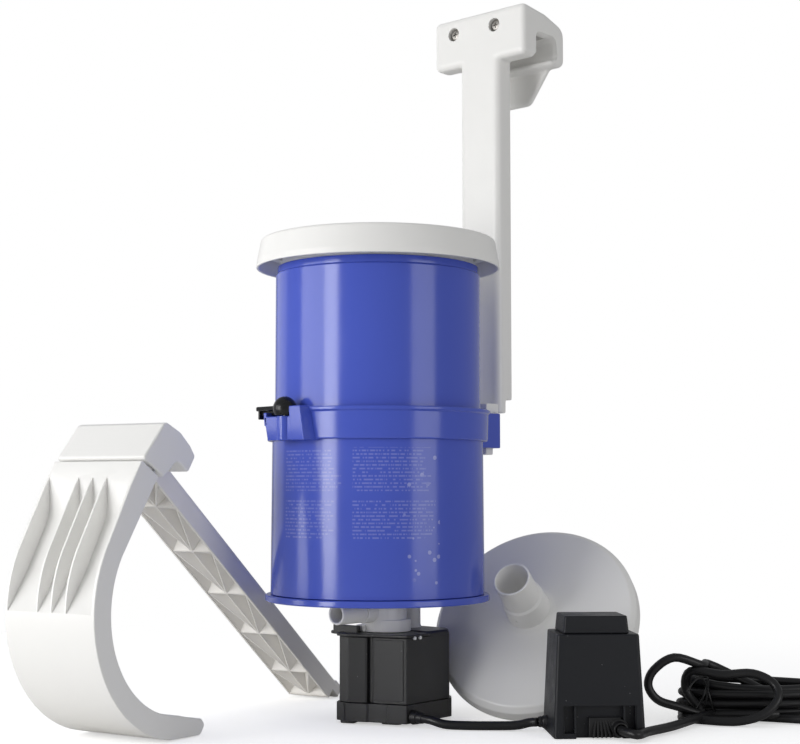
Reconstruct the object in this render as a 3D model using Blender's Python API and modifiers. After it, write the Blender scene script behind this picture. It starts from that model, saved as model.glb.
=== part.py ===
"""Hanging surface skimmer for an above-ground pool, with its submersible pump and its accessories.

Sizes are in millimetres and become metres through MM. The origin is the point on the floor under the
housing's axis. +Z is up, +Y points to the pool wall that the hanger grips, and the outlet nozzle and
the latch face -Y. The accessories stand on the floor round the skimmer.
"""

import math

import bmesh
import bpy
from mathutils import Matrix, Vector

MM = 0.001
GAP = 0.4
FLOOR_GAP = 0.2
BODY_STEPS = 48
SMALL_STEPS = 16

# Housing
HOUSING_RADIUS = 105.5
HOUSING_WALL = 3.0
HOUSING_FLARE = 1.0
BASE_RADIUS = 111.5
BASE_LOW = 119.5
BASE_HIGH = 126.0
HOUSING_TOP = 296.0
COLLAR_RADIUS = 110.5
COLLAR_LIP_RADIUS = 113.0
COLLAR_LOW = 277.0
COLLAR_HIGH = 308.0
SEAL_HEIGHT = 3.0
UPPER_RADIUS = 103.0
UPPER_LOW = 299.8
UPPER_TOP = 452.0
LEDGE_RADIUS = 88.0
LEDGE_HIGH = 322.0

# Float ring, basket and filter
RING_LOW = 451.0
RING_HIGH = 480.0
RING_SKIRT_RADIUS = 123.0
RING_CROWN_RADIUS = 118.0
SLEEVE_RADIUS = 96.5
SLEEVE_LOW = 415.0
BASKET_TOP = 405.0
CARTRIDGE_LOW = 128.0
CARTRIDGE_HIGH = 290.0
CARTRIDGE_RADIUS = 72.0

# Hanger
ARM_FRONT = 165.0
ARM_BACK = 189.0
ARM_WIDTH = 54.0
ARM_LOW = 311.0
ARM_HEEL = 326.0
RIB_PITCH = 71.5
TONGUE_WIDTH = 48.0
TONGUE_FRONT = 147.0
TONGUE_BACK = 161.0
TONGUE_LOW = 268.0
SOCKET_WIDTH = 62.0
SOCKET_BACK = 164.6
HEAD_WIDTH = 126.0
HEAD_LOW = 700.0
HEAD_HIGH = 757.0
HEAD_BACK = 242.0
SLOT_TOP = 728.0
SCREW_HEIGHT = 738.5
CAVITY_TOP = 744.0
SCREW_PLACES = {"clamp_screw_left": -35.0, "clamp_screw_right": 22.0}

# Latch
LATCH_X = -12.7
LATCH_Y = -118.0
LATCH_FRONT = -123.0
LATCH_PLATE_LOW = 304.0

# Pump
PUMP_BASE_LOW = 3.0
PUMP_BASE_HIGH = 21.0
PUMP_HIGH = 84.6
ROTOR_Y = 10.0
VOLUTE_RADIUS = 22.5
VOLUTE_LOW = 88.4
VOLUTE_HIGH = 119.1
NOZZLE_HEIGHT = 108.6
NOZZLE_MOUTH = -60.0
CABLE_RADIUS = 4.3

# Vacuum plate
PLATE_RADIUS = 107.0
PLATE_CENTRE = Vector((89.6, 147.6, 87.8))
PLATE_AXIS = Vector((0.221, -0.784, 0.579)).normalized()

# Ring-pool bracket: its plane stands on the floor, +X of its frame runs along the arm
BRACKET_PLACE = Vector((-59.3, -209.2, 0.4))
BRACKET_HEADING = math.radians(99.8)
BRACKET_WIDTH = 107.0
CURL_CENTRE = (10.0, 120.6)
CURL_OUTER = 120.5
CURL_INNER = 98.5
ARM_SLOPE = math.radians(-38.9)

# Transformer
CASE_PLACE = Vector((203.0, 79.0, 0.3))
CASE_YAW = math.radians(45.0)
CASE_HEIGHT = 95.0

# Coil of mains cable
COIL_CENTRE = (310.0, 230.0, 0.0)
COIL_HEADING = math.radians(41.0)
COIL_LENGTH = 200.0
COIL_DEPTH = 160.0
COIL_PITCH = 13.4
COIL_LAYER_TURNS = 3
COIL_LOW = 6.9
TIE_THICKNESS = 1.2
PLUG_RADIUS = 18.0
PLUG_PIN_SPACING = 19.0


def clear_scene():
    """Remove every object that is in the file."""
    for item in list(bpy.data.objects):
        bpy.data.objects.remove(item, do_unlink=True)


def new_collection(name):
    """Add a collection to the scene."""
    collection = bpy.data.collections.new(name)
    bpy.context.scene.collection.children.link(collection)
    return collection


def new_material(name, colour, roughness, metallic=0.0):
    """A Principled material of one colour."""
    material = bpy.data.materials.new(name)
    material.use_nodes = True
    shader = material.node_tree.nodes["Principled BSDF"]
    shader.inputs["Base Color"].default_value = (*colour, 1.0)
    shader.inputs["Roughness"].default_value = roughness
    shader.inputs["Metallic"].default_value = metallic
    return material


clear_scene()
PARTS = new_collection("pool_surface_skimmer")
CUTTERS = new_collection("cutters")

BLUE = new_material("blue_plastic", (0.07, 0.09, 0.40), 0.25)
WHITE = new_material("white_plastic", (0.84, 0.84, 0.82), 0.35)
IVORY = new_material("ivory_plastic", (0.72, 0.69, 0.64), 0.50)
BLACK = new_material("black_plastic", (0.030, 0.030, 0.034), 0.50)
RUBBER = new_material("black_rubber", (0.022, 0.022, 0.024), 0.60)
STEEL = new_material("screw_steel", (0.55, 0.53, 0.50), 0.35, 1.0)
COPPER = new_material("copper_winding", (0.55, 0.22, 0.10), 0.35, 1.0)
LAMINATE = new_material("core_laminate", (0.16, 0.16, 0.17), 0.45, 1.0)
MAGNET = new_material("rotor_magnet", (0.06, 0.06, 0.065), 0.40, 0.6)
FLEECE = new_material("filter_fleece", (0.80, 0.82, 0.84), 0.90)


def place_object(name, data, material, frame=None):
    """Make an object of some data, give it its material and set it in its frame."""
    item = bpy.data.objects.new(name, data)
    PARTS.objects.link(item)
    data.materials.append(material)
    if frame is not None:
        item.matrix_world = frame
    return item


def move(x, y, z):
    """A shift in millimetres as a matrix in metres."""
    return Matrix.Translation(Vector((x, y, z)) * MM)


def smooth(mesh):
    """Shade a mesh smooth, but keep its real edges."""
    mesh.shade_smooth()
    mesh.set_sharp_from_angle(angle=math.radians(35))


def box(name, low, high, material, frame=None):
    """A block between two corners."""
    low, high = Vector(low), Vector(high)
    work = bmesh.new()
    bmesh.ops.create_cube(work, size=1.0)
    bmesh.ops.scale(work, vec=(high - low) * MM, verts=work.verts)
    mesh = bpy.data.meshes.new(name)
    work.to_mesh(mesh)
    work.free()
    centre = Matrix.Translation((low + high) * 0.5 * MM)
    return place_object(name, mesh, material, (frame or Matrix()) @ centre)


def tapered_box(name, base, top, height, material, frame):
    """A block whose top is smaller than its base, standing on its frame's origin."""
    work = bmesh.new()
    bmesh.ops.create_cube(work, size=1.0)
    for vertex in work.verts:
        size = top if vertex.co.z > 0 else base
        vertex.co.x *= size[0] * MM
        vertex.co.y *= size[1] * MM
        vertex.co.z = height * MM if vertex.co.z > 0 else 0.0
    mesh = bpy.data.meshes.new(name)
    work.to_mesh(mesh)
    work.free()
    return place_object(name, mesh, material, frame)


def rod(name, radius, low, high, material, frame=None, far_radius=None, steps=SMALL_STEPS):
    """A cylinder or cone along the Z axis of its frame, from low to high."""
    work = bmesh.new()
    bmesh.ops.create_cone(
        work,
        cap_ends=True,
        segments=steps,
        radius1=radius * MM,
        radius2=(radius if far_radius is None else far_radius) * MM,
        depth=(high - low) * MM,
    )
    mesh = bpy.data.meshes.new(name)
    work.to_mesh(mesh)
    work.free()
    smooth(mesh)
    return place_object(name, mesh, material, (frame or Matrix()) @ move(0, 0, (low + high) / 2))


def turned(name, profile, material, frame=None, steps=BODY_STEPS):
    """Turn a profile of radius and height round Z. It runs down the outer side first."""
    mesh = bpy.data.meshes.new(name)
    count = len(profile)
    touches_axis = profile[0][0] == 0 and profile[-1][0] == 0
    edges = [(i, i + 1) for i in range(count - 1)]
    if not touches_axis:
        edges.append((count - 1, 0))
    mesh.from_pydata([(radius * MM, 0, height * MM) for radius, height in profile], edges, [])
    item = place_object(name, mesh, material, frame)
    screw = item.modifiers.new("turn", "SCREW")
    screw.steps = steps
    screw.render_steps = steps
    screw.use_merge_vertices = True
    screw.merge_threshold = 1e-6
    return item


def prism(name, outlines, thickness, material, frame):
    """Fill flat outlines, an outer one and any holes, and give them a thickness about their plane."""
    curve = bpy.data.curves.new(name, "CURVE")
    curve.dimensions = "2D"
    curve.fill_mode = "BOTH"
    curve.extrude = thickness / 2 * MM
    for outline in outlines:
        spline = curve.splines.new("POLY")
        spline.points.add(len(outline) - 1)
        for point, (x, y) in zip(spline.points, outline):
            point.co = (x * MM, y * MM, 0, 1)
        spline.use_cyclic_u = True
    guide = place_object(name + "_outline", curve, material, frame)
    bpy.context.view_layer.update()
    mesh = bpy.data.meshes.new_from_object(guide.evaluated_get(bpy.context.evaluated_depsgraph_get()))
    bpy.data.objects.remove(guide, do_unlink=True)
    work = bmesh.new()
    work.from_mesh(mesh)
    bmesh.ops.remove_doubles(work, verts=work.verts, dist=1e-6)
    bmesh.ops.dissolve_limit(work, angle_limit=0.001, verts=work.verts, edges=work.edges)
    work.to_mesh(mesh)
    work.free()
    mesh.name = name
    mesh.materials.clear()
    return place_object(name, mesh, material, frame)


def wire(name, points, radius, material, resolution=2):
    """A round cable through a list of points."""
    curve = bpy.data.curves.new(name, "CURVE")
    curve.dimensions = "3D"
    curve.bevel_depth = radius * MM
    curve.bevel_resolution = resolution
    curve.use_fill_caps = True
    spline = curve.splines.new("POLY")
    spline.points.add(len(points) - 1)
    for point, place in zip(spline.points, points):
        point.co = (*(Vector(place) * MM), 1)
    return place_object(name, curve, material)


def boolean(target, tool, operation):
    """Join a tool to a target or cut it away, and keep the tool as a wire guide."""
    for collection in tool.users_collection:
        collection.objects.unlink(tool)
    CUTTERS.objects.link(tool)
    tool.display_type = "WIRE"
    tool.hide_render = True
    change = target.modifiers.new(tool.name, "BOOLEAN")
    change.operation = operation
    change.object = tool


def cut(target, *tools):
    """Cut tools away from a target."""
    for tool in tools:
        boolean(target, tool, "DIFFERENCE")


def join(target, *tools):
    """Join tools to a target."""
    for tool in tools:
        boolean(target, tool, "UNION")


def arc(centre, radius, start, end, steps):
    """Points on a circle between two angles in degrees."""
    angles = [math.radians(start + (end - start) * i / steps) for i in range(steps + 1)]
    return [(centre[0] + radius * math.cos(a), centre[1] + radius * math.sin(a)) for a in angles]


def smooth_path(points, steps):
    """A smooth path through points, by Catmull-Rom interpolation."""
    points = [Vector(point) for point in points]
    ends = [2 * points[0] - points[1]] + points + [2 * points[-1] - points[-2]]
    path = []
    for i in range(len(points) - 1):
        a, b, c, d = ends[i:i + 4]
        for k in range(steps):
            t = k / steps
            path.append(
                0.5 * (2 * b + (c - a) * t + (2 * a - 5 * b + 4 * c - d) * t * t + (3 * b - a - 3 * c + d) * t ** 3)
            )
    path.append(points[-1])
    return path


def upright_frame(place, heading):
    """A frame whose X runs along a heading on the floor and whose Y is up."""
    along = Vector((math.cos(heading), math.sin(heading), 0))
    up = Vector((0, 0, 1))
    across = along.cross(up)
    turn = Matrix((along, up, across)).transposed().to_4x4()
    return Matrix.Translation(place * MM) @ turn


def axis_frame(place, axis):
    """A frame whose Z runs along an axis."""
    return Matrix.Translation(Vector(place) * MM) @ Vector(axis).to_track_quat("Z", "Y").to_matrix().to_4x4()


def base_plate():
    """The housing's floor, with the suction port in its middle."""
    port = 10.0
    turned(
        "base_plate",
        [
            (BASE_RADIUS, BASE_HIGH),
            (BASE_RADIUS, BASE_LOW),
            (port, BASE_LOW),
            (port, BASE_HIGH - 3),
            (98, BASE_HIGH - 3),
            (98, BASE_HIGH),
        ],
        BLUE,
    )


def lower_housing():
    """The drum round the cartridge, a little wider at its foot."""
    inner = HOUSING_RADIUS - HOUSING_WALL
    foot = HOUSING_RADIUS + HOUSING_FLARE
    turned(
        "lower_housing",
        [
            (HOUSING_RADIUS, HOUSING_TOP),
            (foot, BASE_HIGH + GAP),
            (foot - HOUSING_WALL, BASE_HIGH + GAP),
            (inner, HOUSING_TOP),
        ],
        BLUE,
    )


def collar_ring():
    """The collar round the drum, with the hanger's socket behind and the latch's bracket in front."""
    bore = HOUSING_RADIUS + GAP + 0.1
    collar = turned(
        "collar_ring",
        [
            (0, COLLAR_HIGH),
            (COLLAR_LIP_RADIUS, COLLAR_HIGH),
            (COLLAR_LIP_RADIUS, COLLAR_HIGH - 3.5),
            (COLLAR_RADIUS + 0.5, COLLAR_HIGH - 4.5),
            (COLLAR_RADIUS, COLLAR_LOW),
            (0, COLLAR_LOW),
        ],
        BLUE,
    )
    half = SOCKET_WIDTH / 2
    socket = box("socket_block", (-half, 90, COLLAR_LOW - 1), (half, SOCKET_BACK, ARM_LOW - 1), BLUE)
    bracket = box("latch_block", (-42, LATCH_FRONT, COLLAR_LOW - 1), (24, -90, 299), BLUE)
    cheek = box("latch_cheek", (0, LATCH_FRONT, 290), (24, -90, COLLAR_HIGH + 0.5), BLUE)
    wall = box("latch_wall", (-42, LATCH_FRONT, 290), (-38.5, -96, 302.5), BLUE)
    join(collar, socket, bracket, cheek, wall)
    slot_half = TONGUE_WIDTH / 2 + GAP
    slot = box(
        "socket_slot",
        (-slot_half, TONGUE_FRONT - GAP, COLLAR_LOW - 20),
        (slot_half, TONGUE_BACK + GAP, COLLAR_HIGH + 20),
        BLUE,
    )
    drum = rod("collar_bore", bore, COLLAR_LOW - 20, COLLAR_HIGH + 20, BLUE, steps=BODY_STEPS)
    pin_hole = rod("latch_pin_hole", 2.6, 288, 330, BLUE, move(LATCH_X, LATCH_Y, 0))
    seat = rod("latch_seat", 11.5, 299.2, 330, BLUE, move(LATCH_X, LATCH_Y, 0), steps=24)
    cut(collar, slot, drum, pin_hole, seat)


def upper_housing():
    """The drum above the collar, with the inner ledge that carries the basket."""
    inner = UPPER_RADIUS - HOUSING_WALL
    turned(
        "upper_housing",
        [
            (UPPER_RADIUS - 1.5, UPPER_TOP),
            (UPPER_RADIUS - 1.5, UPPER_TOP - 7),
            (UPPER_RADIUS, UPPER_TOP - 8),
            (UPPER_RADIUS, UPPER_LOW + 4),
            (HOUSING_RADIUS, UPPER_LOW + 4),
            (HOUSING_RADIUS, UPPER_LOW),
            (inner, UPPER_LOW),
            (inner, LEDGE_HIGH - 4),
            (LEDGE_RADIUS - 8, LEDGE_HIGH - 4),
            (LEDGE_RADIUS - 8, LEDGE_HIGH),
            (inner, LEDGE_HIGH),
            (inner, UPPER_TOP),
        ],
        BLUE,
    )


def housing_seal():
    """The rubber ring between the two drums."""
    low = HOUSING_TOP + 0.3
    turned(
        "housing_seal",
        [(105, low + SEAL_HEIGHT), (105, low), (102.5, low), (102.5, low + SEAL_HEIGHT)],
        RUBBER,
    )


def float_ring():
    """The ring that rides on the water: a flared skirt, a crown and a sleeve inside the upper drum."""
    wall = 2.5
    turned(
        "float_ring",
        [
            (SLEEVE_RADIUS - wall, RING_HIGH - 1.5),
            (SLEEVE_RADIUS, RING_HIGH),
            (RING_CROWN_RADIUS - 3, RING_HIGH),
            (RING_CROWN_RADIUS, RING_HIGH - 3),
            (RING_SKIRT_RADIUS, RING_LOW + 5),
            (RING_SKIRT_RADIUS, RING_LOW),
            (RING_SKIRT_RADIUS - wall, RING_LOW),
            (RING_CROWN_RADIUS - wall - 0.5, RING_HIGH - wall - 1),
            (SLEEVE_RADIUS, RING_HIGH - wall - 1),
            (SLEEVE_RADIUS, SLEEVE_LOW),
            (SLEEVE_RADIUS - wall, SLEEVE_LOW),
        ],
        WHITE,
    )
    foam_high = RING_HIGH - wall - 1 - GAP
    turned(
        "float_foam",
        [(113, foam_high), (114, foam_high - 12), (SLEEVE_RADIUS + 7, foam_high - 12), (SLEEVE_RADIUS + GAP, foam_high)],
        FLEECE,
    )


def leaf_basket():
    """The basket that catches leaves, slotted all round, with a bar to lift it by."""
    floor = LEDGE_HIGH + GAP
    hub = 6.0
    basket = turned(
        "leaf_basket",
        [
            (91, BASKET_TOP),
            (91, BASKET_TOP - 3),
            (88, BASKET_TOP - 4),
            (85, floor),
            (hub, floor),
            (hub, floor + 2),
            (83, floor + 2),
            (86, BASKET_TOP),
        ],
        WHITE,
    )
    slots = 12
    work = bmesh.new()
    for i in range(slots):
        turn = Matrix.Rotation(2 * math.pi * (i + 0.5) / slots, 4, "Z")
        cube = bmesh.ops.create_cube(work, size=1.0)["verts"]
        bmesh.ops.scale(work, vec=Vector((20, 10, 55)) * MM, verts=cube)
        bmesh.ops.transform(work, matrix=turn @ move(87, 0, floor + 40), verts=cube)
    mesh = bpy.data.meshes.new("basket_slots")
    work.to_mesh(mesh)
    work.free()
    cut(basket, place_object("basket_slots", mesh, WHITE))
    join(basket, box("basket_bar", (-87, -4, BASKET_TOP - 7), (87, 4, BASKET_TOP - 1), WHITE))


def filter_cartridge():
    """A pleated filter between two caps on a hollow core."""
    low = CARTRIDGE_LOW + 6
    high = CARTRIDGE_HIGH - 6
    core = 22.0
    turned(
        "cartridge_bottom_cap",
        [(CARTRIDGE_RADIUS, low - GAP), (CARTRIDGE_RADIUS, CARTRIDGE_LOW), (12, CARTRIDGE_LOW), (12, low - GAP)],
        BLUE,
        steps=32,
    )
    turned(
        "cartridge_top_cap",
        [
            (0, CARTRIDGE_HIGH),
            (CARTRIDGE_RADIUS, CARTRIDGE_HIGH),
            (CARTRIDGE_RADIUS, high + GAP),
            (0, high + GAP),
        ],
        BLUE,
        steps=32,
    )
    turned(
        "cartridge_core",
        [(core, high), (core, low), (core - 2, low), (core - 2, high)],
        WHITE,
        steps=24,
    )
    pleats = 24
    star = []
    for i in range(2 * pleats):
        radius = CARTRIDGE_RADIUS - 3 if i % 2 == 0 else CARTRIDGE_RADIUS - 20
        angle = math.pi * i / pleats
        star.append((radius * math.cos(angle), radius * math.sin(angle)))
    hole = arc((0, 0), core + GAP + 0.5, 0, 360 - 15, 23)
    prism("cartridge_pleats", [star, hole], high - low, FLEECE, move(0, 0, (low + high) / 2))


def arm_with_tongue(name, material, frame, length, tongue):
    """A channel-backed arm. Its frame's X is its width, Y its depth to the back and Z points to its head."""
    half = ARM_WIDTH / 2
    depth = ARM_BACK - ARM_FRONT
    wall = 3.0
    arm = box(name, (-half, 0, ARM_HEEL - ARM_LOW), (half, depth, length), material, frame)
    heel = box(name + "_heel", (-half, 0, 0), (half, depth / 2 + 1, ARM_HEEL - ARM_LOW + 5), material, frame)
    front = TONGUE_FRONT - ARM_FRONT
    back = TONGUE_BACK - ARM_FRONT
    tongue_half = TONGUE_WIDTH / 2
    step = box(name + "_step", (-tongue_half, front, 0), (tongue_half, 6, 10), material, frame)
    blade = box(name + "_tongue", (-tongue_half, front, -tongue), (tongue_half, back, 6), material, frame)
    join(arm, heel, step, blade)
    pocket = (RIB_PITCH - wall) / 2
    count = int((length - 45) // (pocket + wall))
    work = bmesh.new()
    for i in range(count):
        low = ARM_HEEL - ARM_LOW + wall + i * (pocket + wall)
        for side in (-1, 1):
            cube = bmesh.ops.create_cube(work, size=1.0)["verts"]
            bmesh.ops.scale(work, vec=Vector((half - 1.5 * wall, depth, pocket)) * MM, verts=cube)
            x = side * (half / 2 - wall / 4)
            bmesh.ops.translate(work, vec=Vector((x, depth / 2 + wall, low + pocket / 2)) * MM, verts=cube)
    mesh = bpy.data.meshes.new(name + "_pockets")
    work.to_mesh(mesh)
    work.free()
    cut(arm, place_object(name + "_pockets", mesh, material, frame))
    return arm


def hanger():
    """The hook that hangs the skimmer on a pool wall: an arm and a wide head with a slot."""
    arm = arm_with_tongue(
        "hanger", WHITE, move(0, ARM_FRONT, ARM_LOW), HEAD_LOW + 10 - ARM_LOW, ARM_LOW - TONGUE_LOW
    )
    outline = [
        (ARM_FRONT + 3, HEAD_LOW),
        (ARM_BACK - 1, HEAD_LOW),
        (ARM_BACK, HEAD_LOW + 1),
        (ARM_BACK, SLOT_TOP - 3),
        (ARM_BACK + 3, SLOT_TOP),
        (219, SLOT_TOP),
        (223, SLOT_TOP - 5),
        (227, HEAD_LOW + 2),
        (230, HEAD_LOW - 3),
        (HEAD_BACK - 4, HEAD_LOW - 3),
        (HEAD_BACK, HEAD_LOW + 3),
        (HEAD_BACK - 1, HEAD_HIGH - 22),
        (HEAD_BACK - 8, HEAD_HIGH - 10),
        (ARM_BACK + 15, HEAD_HIGH - 4),
        (ARM_FRONT + 4, HEAD_HIGH),
        (ARM_FRONT, HEAD_HIGH - 4),
        (ARM_FRONT, HEAD_LOW + 3),
    ]
    side_frame = upright_frame(Vector((0, 0, 0)), math.radians(90))
    join(arm, prism("hanger_head", [outline], HEAD_WIDTH, WHITE, side_frame))
    guide = [(-50, HEAD_LOW + 2), (-22, 664), (-14, 661), (14, 661), (22, 664), (50, HEAD_LOW + 2)]
    guide_frame = upright_frame(Vector((0, 234, 0)), 0)
    join(arm, prism("hanger_guide", [guide], 6, WHITE, guide_frame))
    cut(arm, box("head_cavity", (-54, ARM_BACK - 1, SLOT_TOP - 8), (54, 214, CAVITY_TOP), WHITE))
    for name, x in SCREW_PLACES.items():
        bore = axis_frame((x, ARM_FRONT, SCREW_HEIGHT), (0, 1, 0))
        recess = rod(name + "_recess", 7.5, -2, 15.4, WHITE, bore)
        hole = rod(name + "_hole", 3.4, 10, 30, WHITE, bore)
        cut(arm, recess, hole)


def hanger_clamp():
    """The pad in the hanger's slot and the screws that press it on the wall."""
    box("clamp_pad", (-52, ARM_BACK + 1, HEAD_LOW + 3), (52, ARM_BACK + 6, CAVITY_TOP - 1), WHITE)
    for name, x in SCREW_PLACES.items():
        frame = axis_frame((x, ARM_FRONT, SCREW_HEIGHT), (0, 1, 0))
        screw = rod(name, 6.6, 3, 7, STEEL, frame)
        join(screw, rod(name + "_shank", 3.0, 5, 24.6, STEEL, frame, steps=12))
        cross = box(name + "_cross", (-4, -0.7, 1), (4, 0.7, 4.6), STEEL, frame)
        cross_two = box(name + "_cross_two", (-0.7, -4, 1), (0.7, 4, 4.6), STEEL, frame)
        cut(screw, cross, cross_two)


def latch():
    """The lever that locks the upper drum: a domed knob, a flat lever with a tab, and its pin."""
    frame = move(LATCH_X, LATCH_Y, 0)
    knob = turned(
        "latch_lever",
        [(0, 316.5)]
        + [(radius, height) for radius, height in arc((0, 306.0), 10.5, 60, -40, 5)]
        + [(0, 299.6)],
        BLACK,
        frame,
        steps=24,
    )
    reach = frame @ Matrix.Rotation(math.radians(-9), 4, "Z")
    lever = box("lever_plate", (-42, -6, LATCH_PLATE_LOW), (0, 5, 309), BLACK, reach)
    tab = box("lever_tab", (-42, -5, 297), (-38.5, 4, 307), BLACK, reach)
    join(knob, lever, tab)
    cut(knob, rod("lever_bore", 2.0, 290, 309, BLACK, frame, steps=12))
    rod("latch_pin", 1.5, 289, 308, STEEL, frame, steps=12)


def pump_body():
    """The motor housing of the pump, with its grooved front, and the wider cover and feet under it."""
    outline = [
        (-38, -5),
        (-22, -32),
        (-9, -33.5),
        (7.9, -25.2),
        (7.9, -19.8),
        (11.1, -18.5),
        (14.4, -22.6),
        (46.9, -9.5),
        (47, -8),
        (45.5, 57),
        (33, 71.8),
        (-33, 71.8),
        (-38, 67),
    ]
    low = PUMP_BASE_HIGH + GAP
    housing = prism("pump_housing", [outline], PUMP_HIGH - low, BLACK, move(0, 0, (low + PUMP_HIGH) / 2))
    well = rod("rotor_well", 15.5, 32, 100, BLACK, move(0, ROTOR_Y, 0), steps=24)
    bay = box("stator_bay", (-31, 32, 10), (31, 70, 78), BLACK)
    cut(housing, well, bay)
    cover = prism(
        "pump_base_cover",
        [
            [
                (-40, -5),
                (-24, -34),
                (-9, -35.5),
                (15, -24.8),
                (48.5, -11.5),
                (49, -9),
                (47.5, 58),
                (34.5, 73.5),
                (-34.5, 73.5),
                (-40, 68),
            ]
        ],
        PUMP_BASE_HIGH - PUMP_BASE_LOW,
        BLACK,
        move(0, 0, (PUMP_BASE_HIGH + PUMP_BASE_LOW) / 2),
    )
    join(cover, rod("cover_boss", 8, FLOOR_GAP, PUMP_BASE_LOW + 2, BLACK, steps=24))
    cut(cover, box("cover_hollow", (-33, -9, 6), (33, 70, 30), BLACK))
    for i, (x, y) in enumerate([(-28, -3), (28, -3), (-28, 64), (28, 64)], 1):
        rod("pump_foot_%d" % i, 5.5, FLOOR_GAP, PUMP_BASE_LOW - 0.3, RUBBER, move(x, y, 0), steps=12)


def pump_motor():
    """What turns inside the pump, and the wound core that turns it."""
    core = box("stator_core", (-26, 34, 30), (26, 68, 40), LAMINATE)
    left_limb = box("stator_left_limb", (-26, 34, 38), (-12, 68, 72), LAMINATE)
    right_limb = box("stator_right_limb", (12, 34, 38), (26, 68, 72), LAMINATE)
    join(core, left_limb, right_limb)
    coil = box("stator_coil", (-11, 36, 41), (11, 66, 70), COPPER)
    coil.modifiers.new("round", "BEVEL").width = 3 * MM
    frame = move(0, ROTOR_Y, 0)
    for name, low, high in (("rear_bush", 32.4, 38), ("front_bush", 82, 87)):
        bush = rod(name, 5, low, high, RUBBER, frame)
        cut(bush, rod(name + "_bore", 2.2, low - 5, high + 5, RUBBER, frame, steps=12))
    rod("rotor_shaft", 1.6, 33, 108, STEEL, frame, steps=12)
    magnet = rod("rotor_magnet", 12, 39, 81, MAGNET, frame, steps=24)
    cut(magnet, rod("magnet_bore", 2.2, 20, 100, MAGNET, frame, steps=12))
    impeller = rod("impeller", 5, 92, 107, BLACK, frame)
    for i in range(3):
        turn = frame @ Matrix.Rotation(math.pi * i / 3, 4, "Z")
        join(impeller, box("blade_%d" % i, (-15.5, -0.9, 93), (15.5, 0.9, 106), BLACK, turn))
    cut(impeller, rod("impeller_bore", 2.2, 80, 120, BLACK, frame, steps=12))


def pump_top():
    """The flange, the volute with its outlet, and the post that carries the drum's back."""
    low = PUMP_HIGH + GAP
    high = VOLUTE_LOW - GAP
    outline = [
        (-40, -5),
        (-24, -34),
        (-9, -35.5),
        (9, -27),
        (48, -11),
        (48, 22),
        (30, 62),
        (-30, 62),
        (-40, 50),
    ]
    flange = prism("pump_flange", [outline], high - low, BLACK, move(0, 0, (low + high) / 2))
    join(flange, box("flange_tab", (-41, -21.5, low), (-8, -17, 94.5), BLACK))
    join(flange, box("flange_ear", (-47, -20, low), (-30, -8, high), BLACK))
    cut(flange, rod("flange_bore", 13, 70, 110, BLACK, move(0, ROTOR_Y, 0), steps=24))
    frame = move(0, ROTOR_Y, 0)
    volute = rod("pump_volute", VOLUTE_RADIUS, VOLUTE_LOW, VOLUTE_HIGH, WHITE, frame, steps=32)
    outlet = axis_frame((0, ROTOR_Y, NOZZLE_HEIGHT), (0, -1, 0))
    join(volute, rod("volute_boss", 10.4, 5, VOLUTE_RADIUS + 12, WHITE, outlet, steps=24))
    join(volute, rod("volute_foot", VOLUTE_RADIUS + 0.5, VOLUTE_LOW, 100.5, WHITE, move(3, 12, 0), steps=32))
    chamber = rod("volute_chamber", 18.5, 60, 114, WHITE, frame, steps=32)
    inlet = rod("volute_inlet", 9, 100, 140, WHITE, frame)
    port = rod("volute_port", 8, 0, 60, WHITE, outlet)
    cut(volute, chamber, inlet, port)
    start = ROTOR_Y - VOLUTE_RADIUS - 12 - GAP
    mouth = axis_frame((0, start, NOZZLE_HEIGHT), (0, -1, 0))
    nozzle = rod("outlet_nozzle", 10, 0, start - NOZZLE_MOUTH, WHITE, mouth, steps=24)
    cut(nozzle, rod("nozzle_bore", 8, -5, 60, WHITE, mouth, steps=24))
    rod("support_post", 9, VOLUTE_LOW, VOLUTE_HIGH, WHITE, move(0, 52, 0), steps=24)


def vacuum_plate():
    """The cone-shaped suction plate and its hose spigot, leaning against the skimmer."""
    frame = axis_frame(PLATE_CENTRE, PLATE_AXIS)
    rim = 20.0
    wall = 2.5
    neck = 24.0
    cone = 34.0
    inner = PLATE_RADIUS - wall
    turned(
        "vacuum_plate",
        [
            (neck, cone),
            (PLATE_RADIUS - 5, rim),
            (PLATE_RADIUS, rim - 4),
            (PLATE_RADIUS, 0),
            (inner, 0),
            (inner, rim - 5),
            (PLATE_RADIUS - 6, rim - wall - 0.5),
            (neck - 2, cone - wall),
            (18, cone - wall),
            (18, cone),
        ],
        WHITE,
        frame,
    )
    turned(
        "vacuum_spigot",
        [
            (18.5, 92),
            (19, 90),
            (19, 58),
            (22, 56),
            (22.5, cone + GAP),
            (17, cone + GAP),
            (16.5, 92),
        ],
        WHITE,
        frame,
        steps=32,
    )


def curl_outline():
    """The side view of the plate that hugs an inflated ring: a curl, a straight neck and a lip."""
    outer = arc(CURL_CENTRE, CURL_OUTER, 149, 262, 14)
    inner = arc(CURL_CENTRE, CURL_INNER, 266, 149, 12)
    neck_outer = [(-52.5, 254), (-66, 232)]
    neck_inner = [(-33, 234), (-27, 239)]
    toe = [(36, 0.4), (41, 8), (38, 15), (28, 17)]
    return neck_outer + outer + toe + inner + neck_inner


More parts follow.
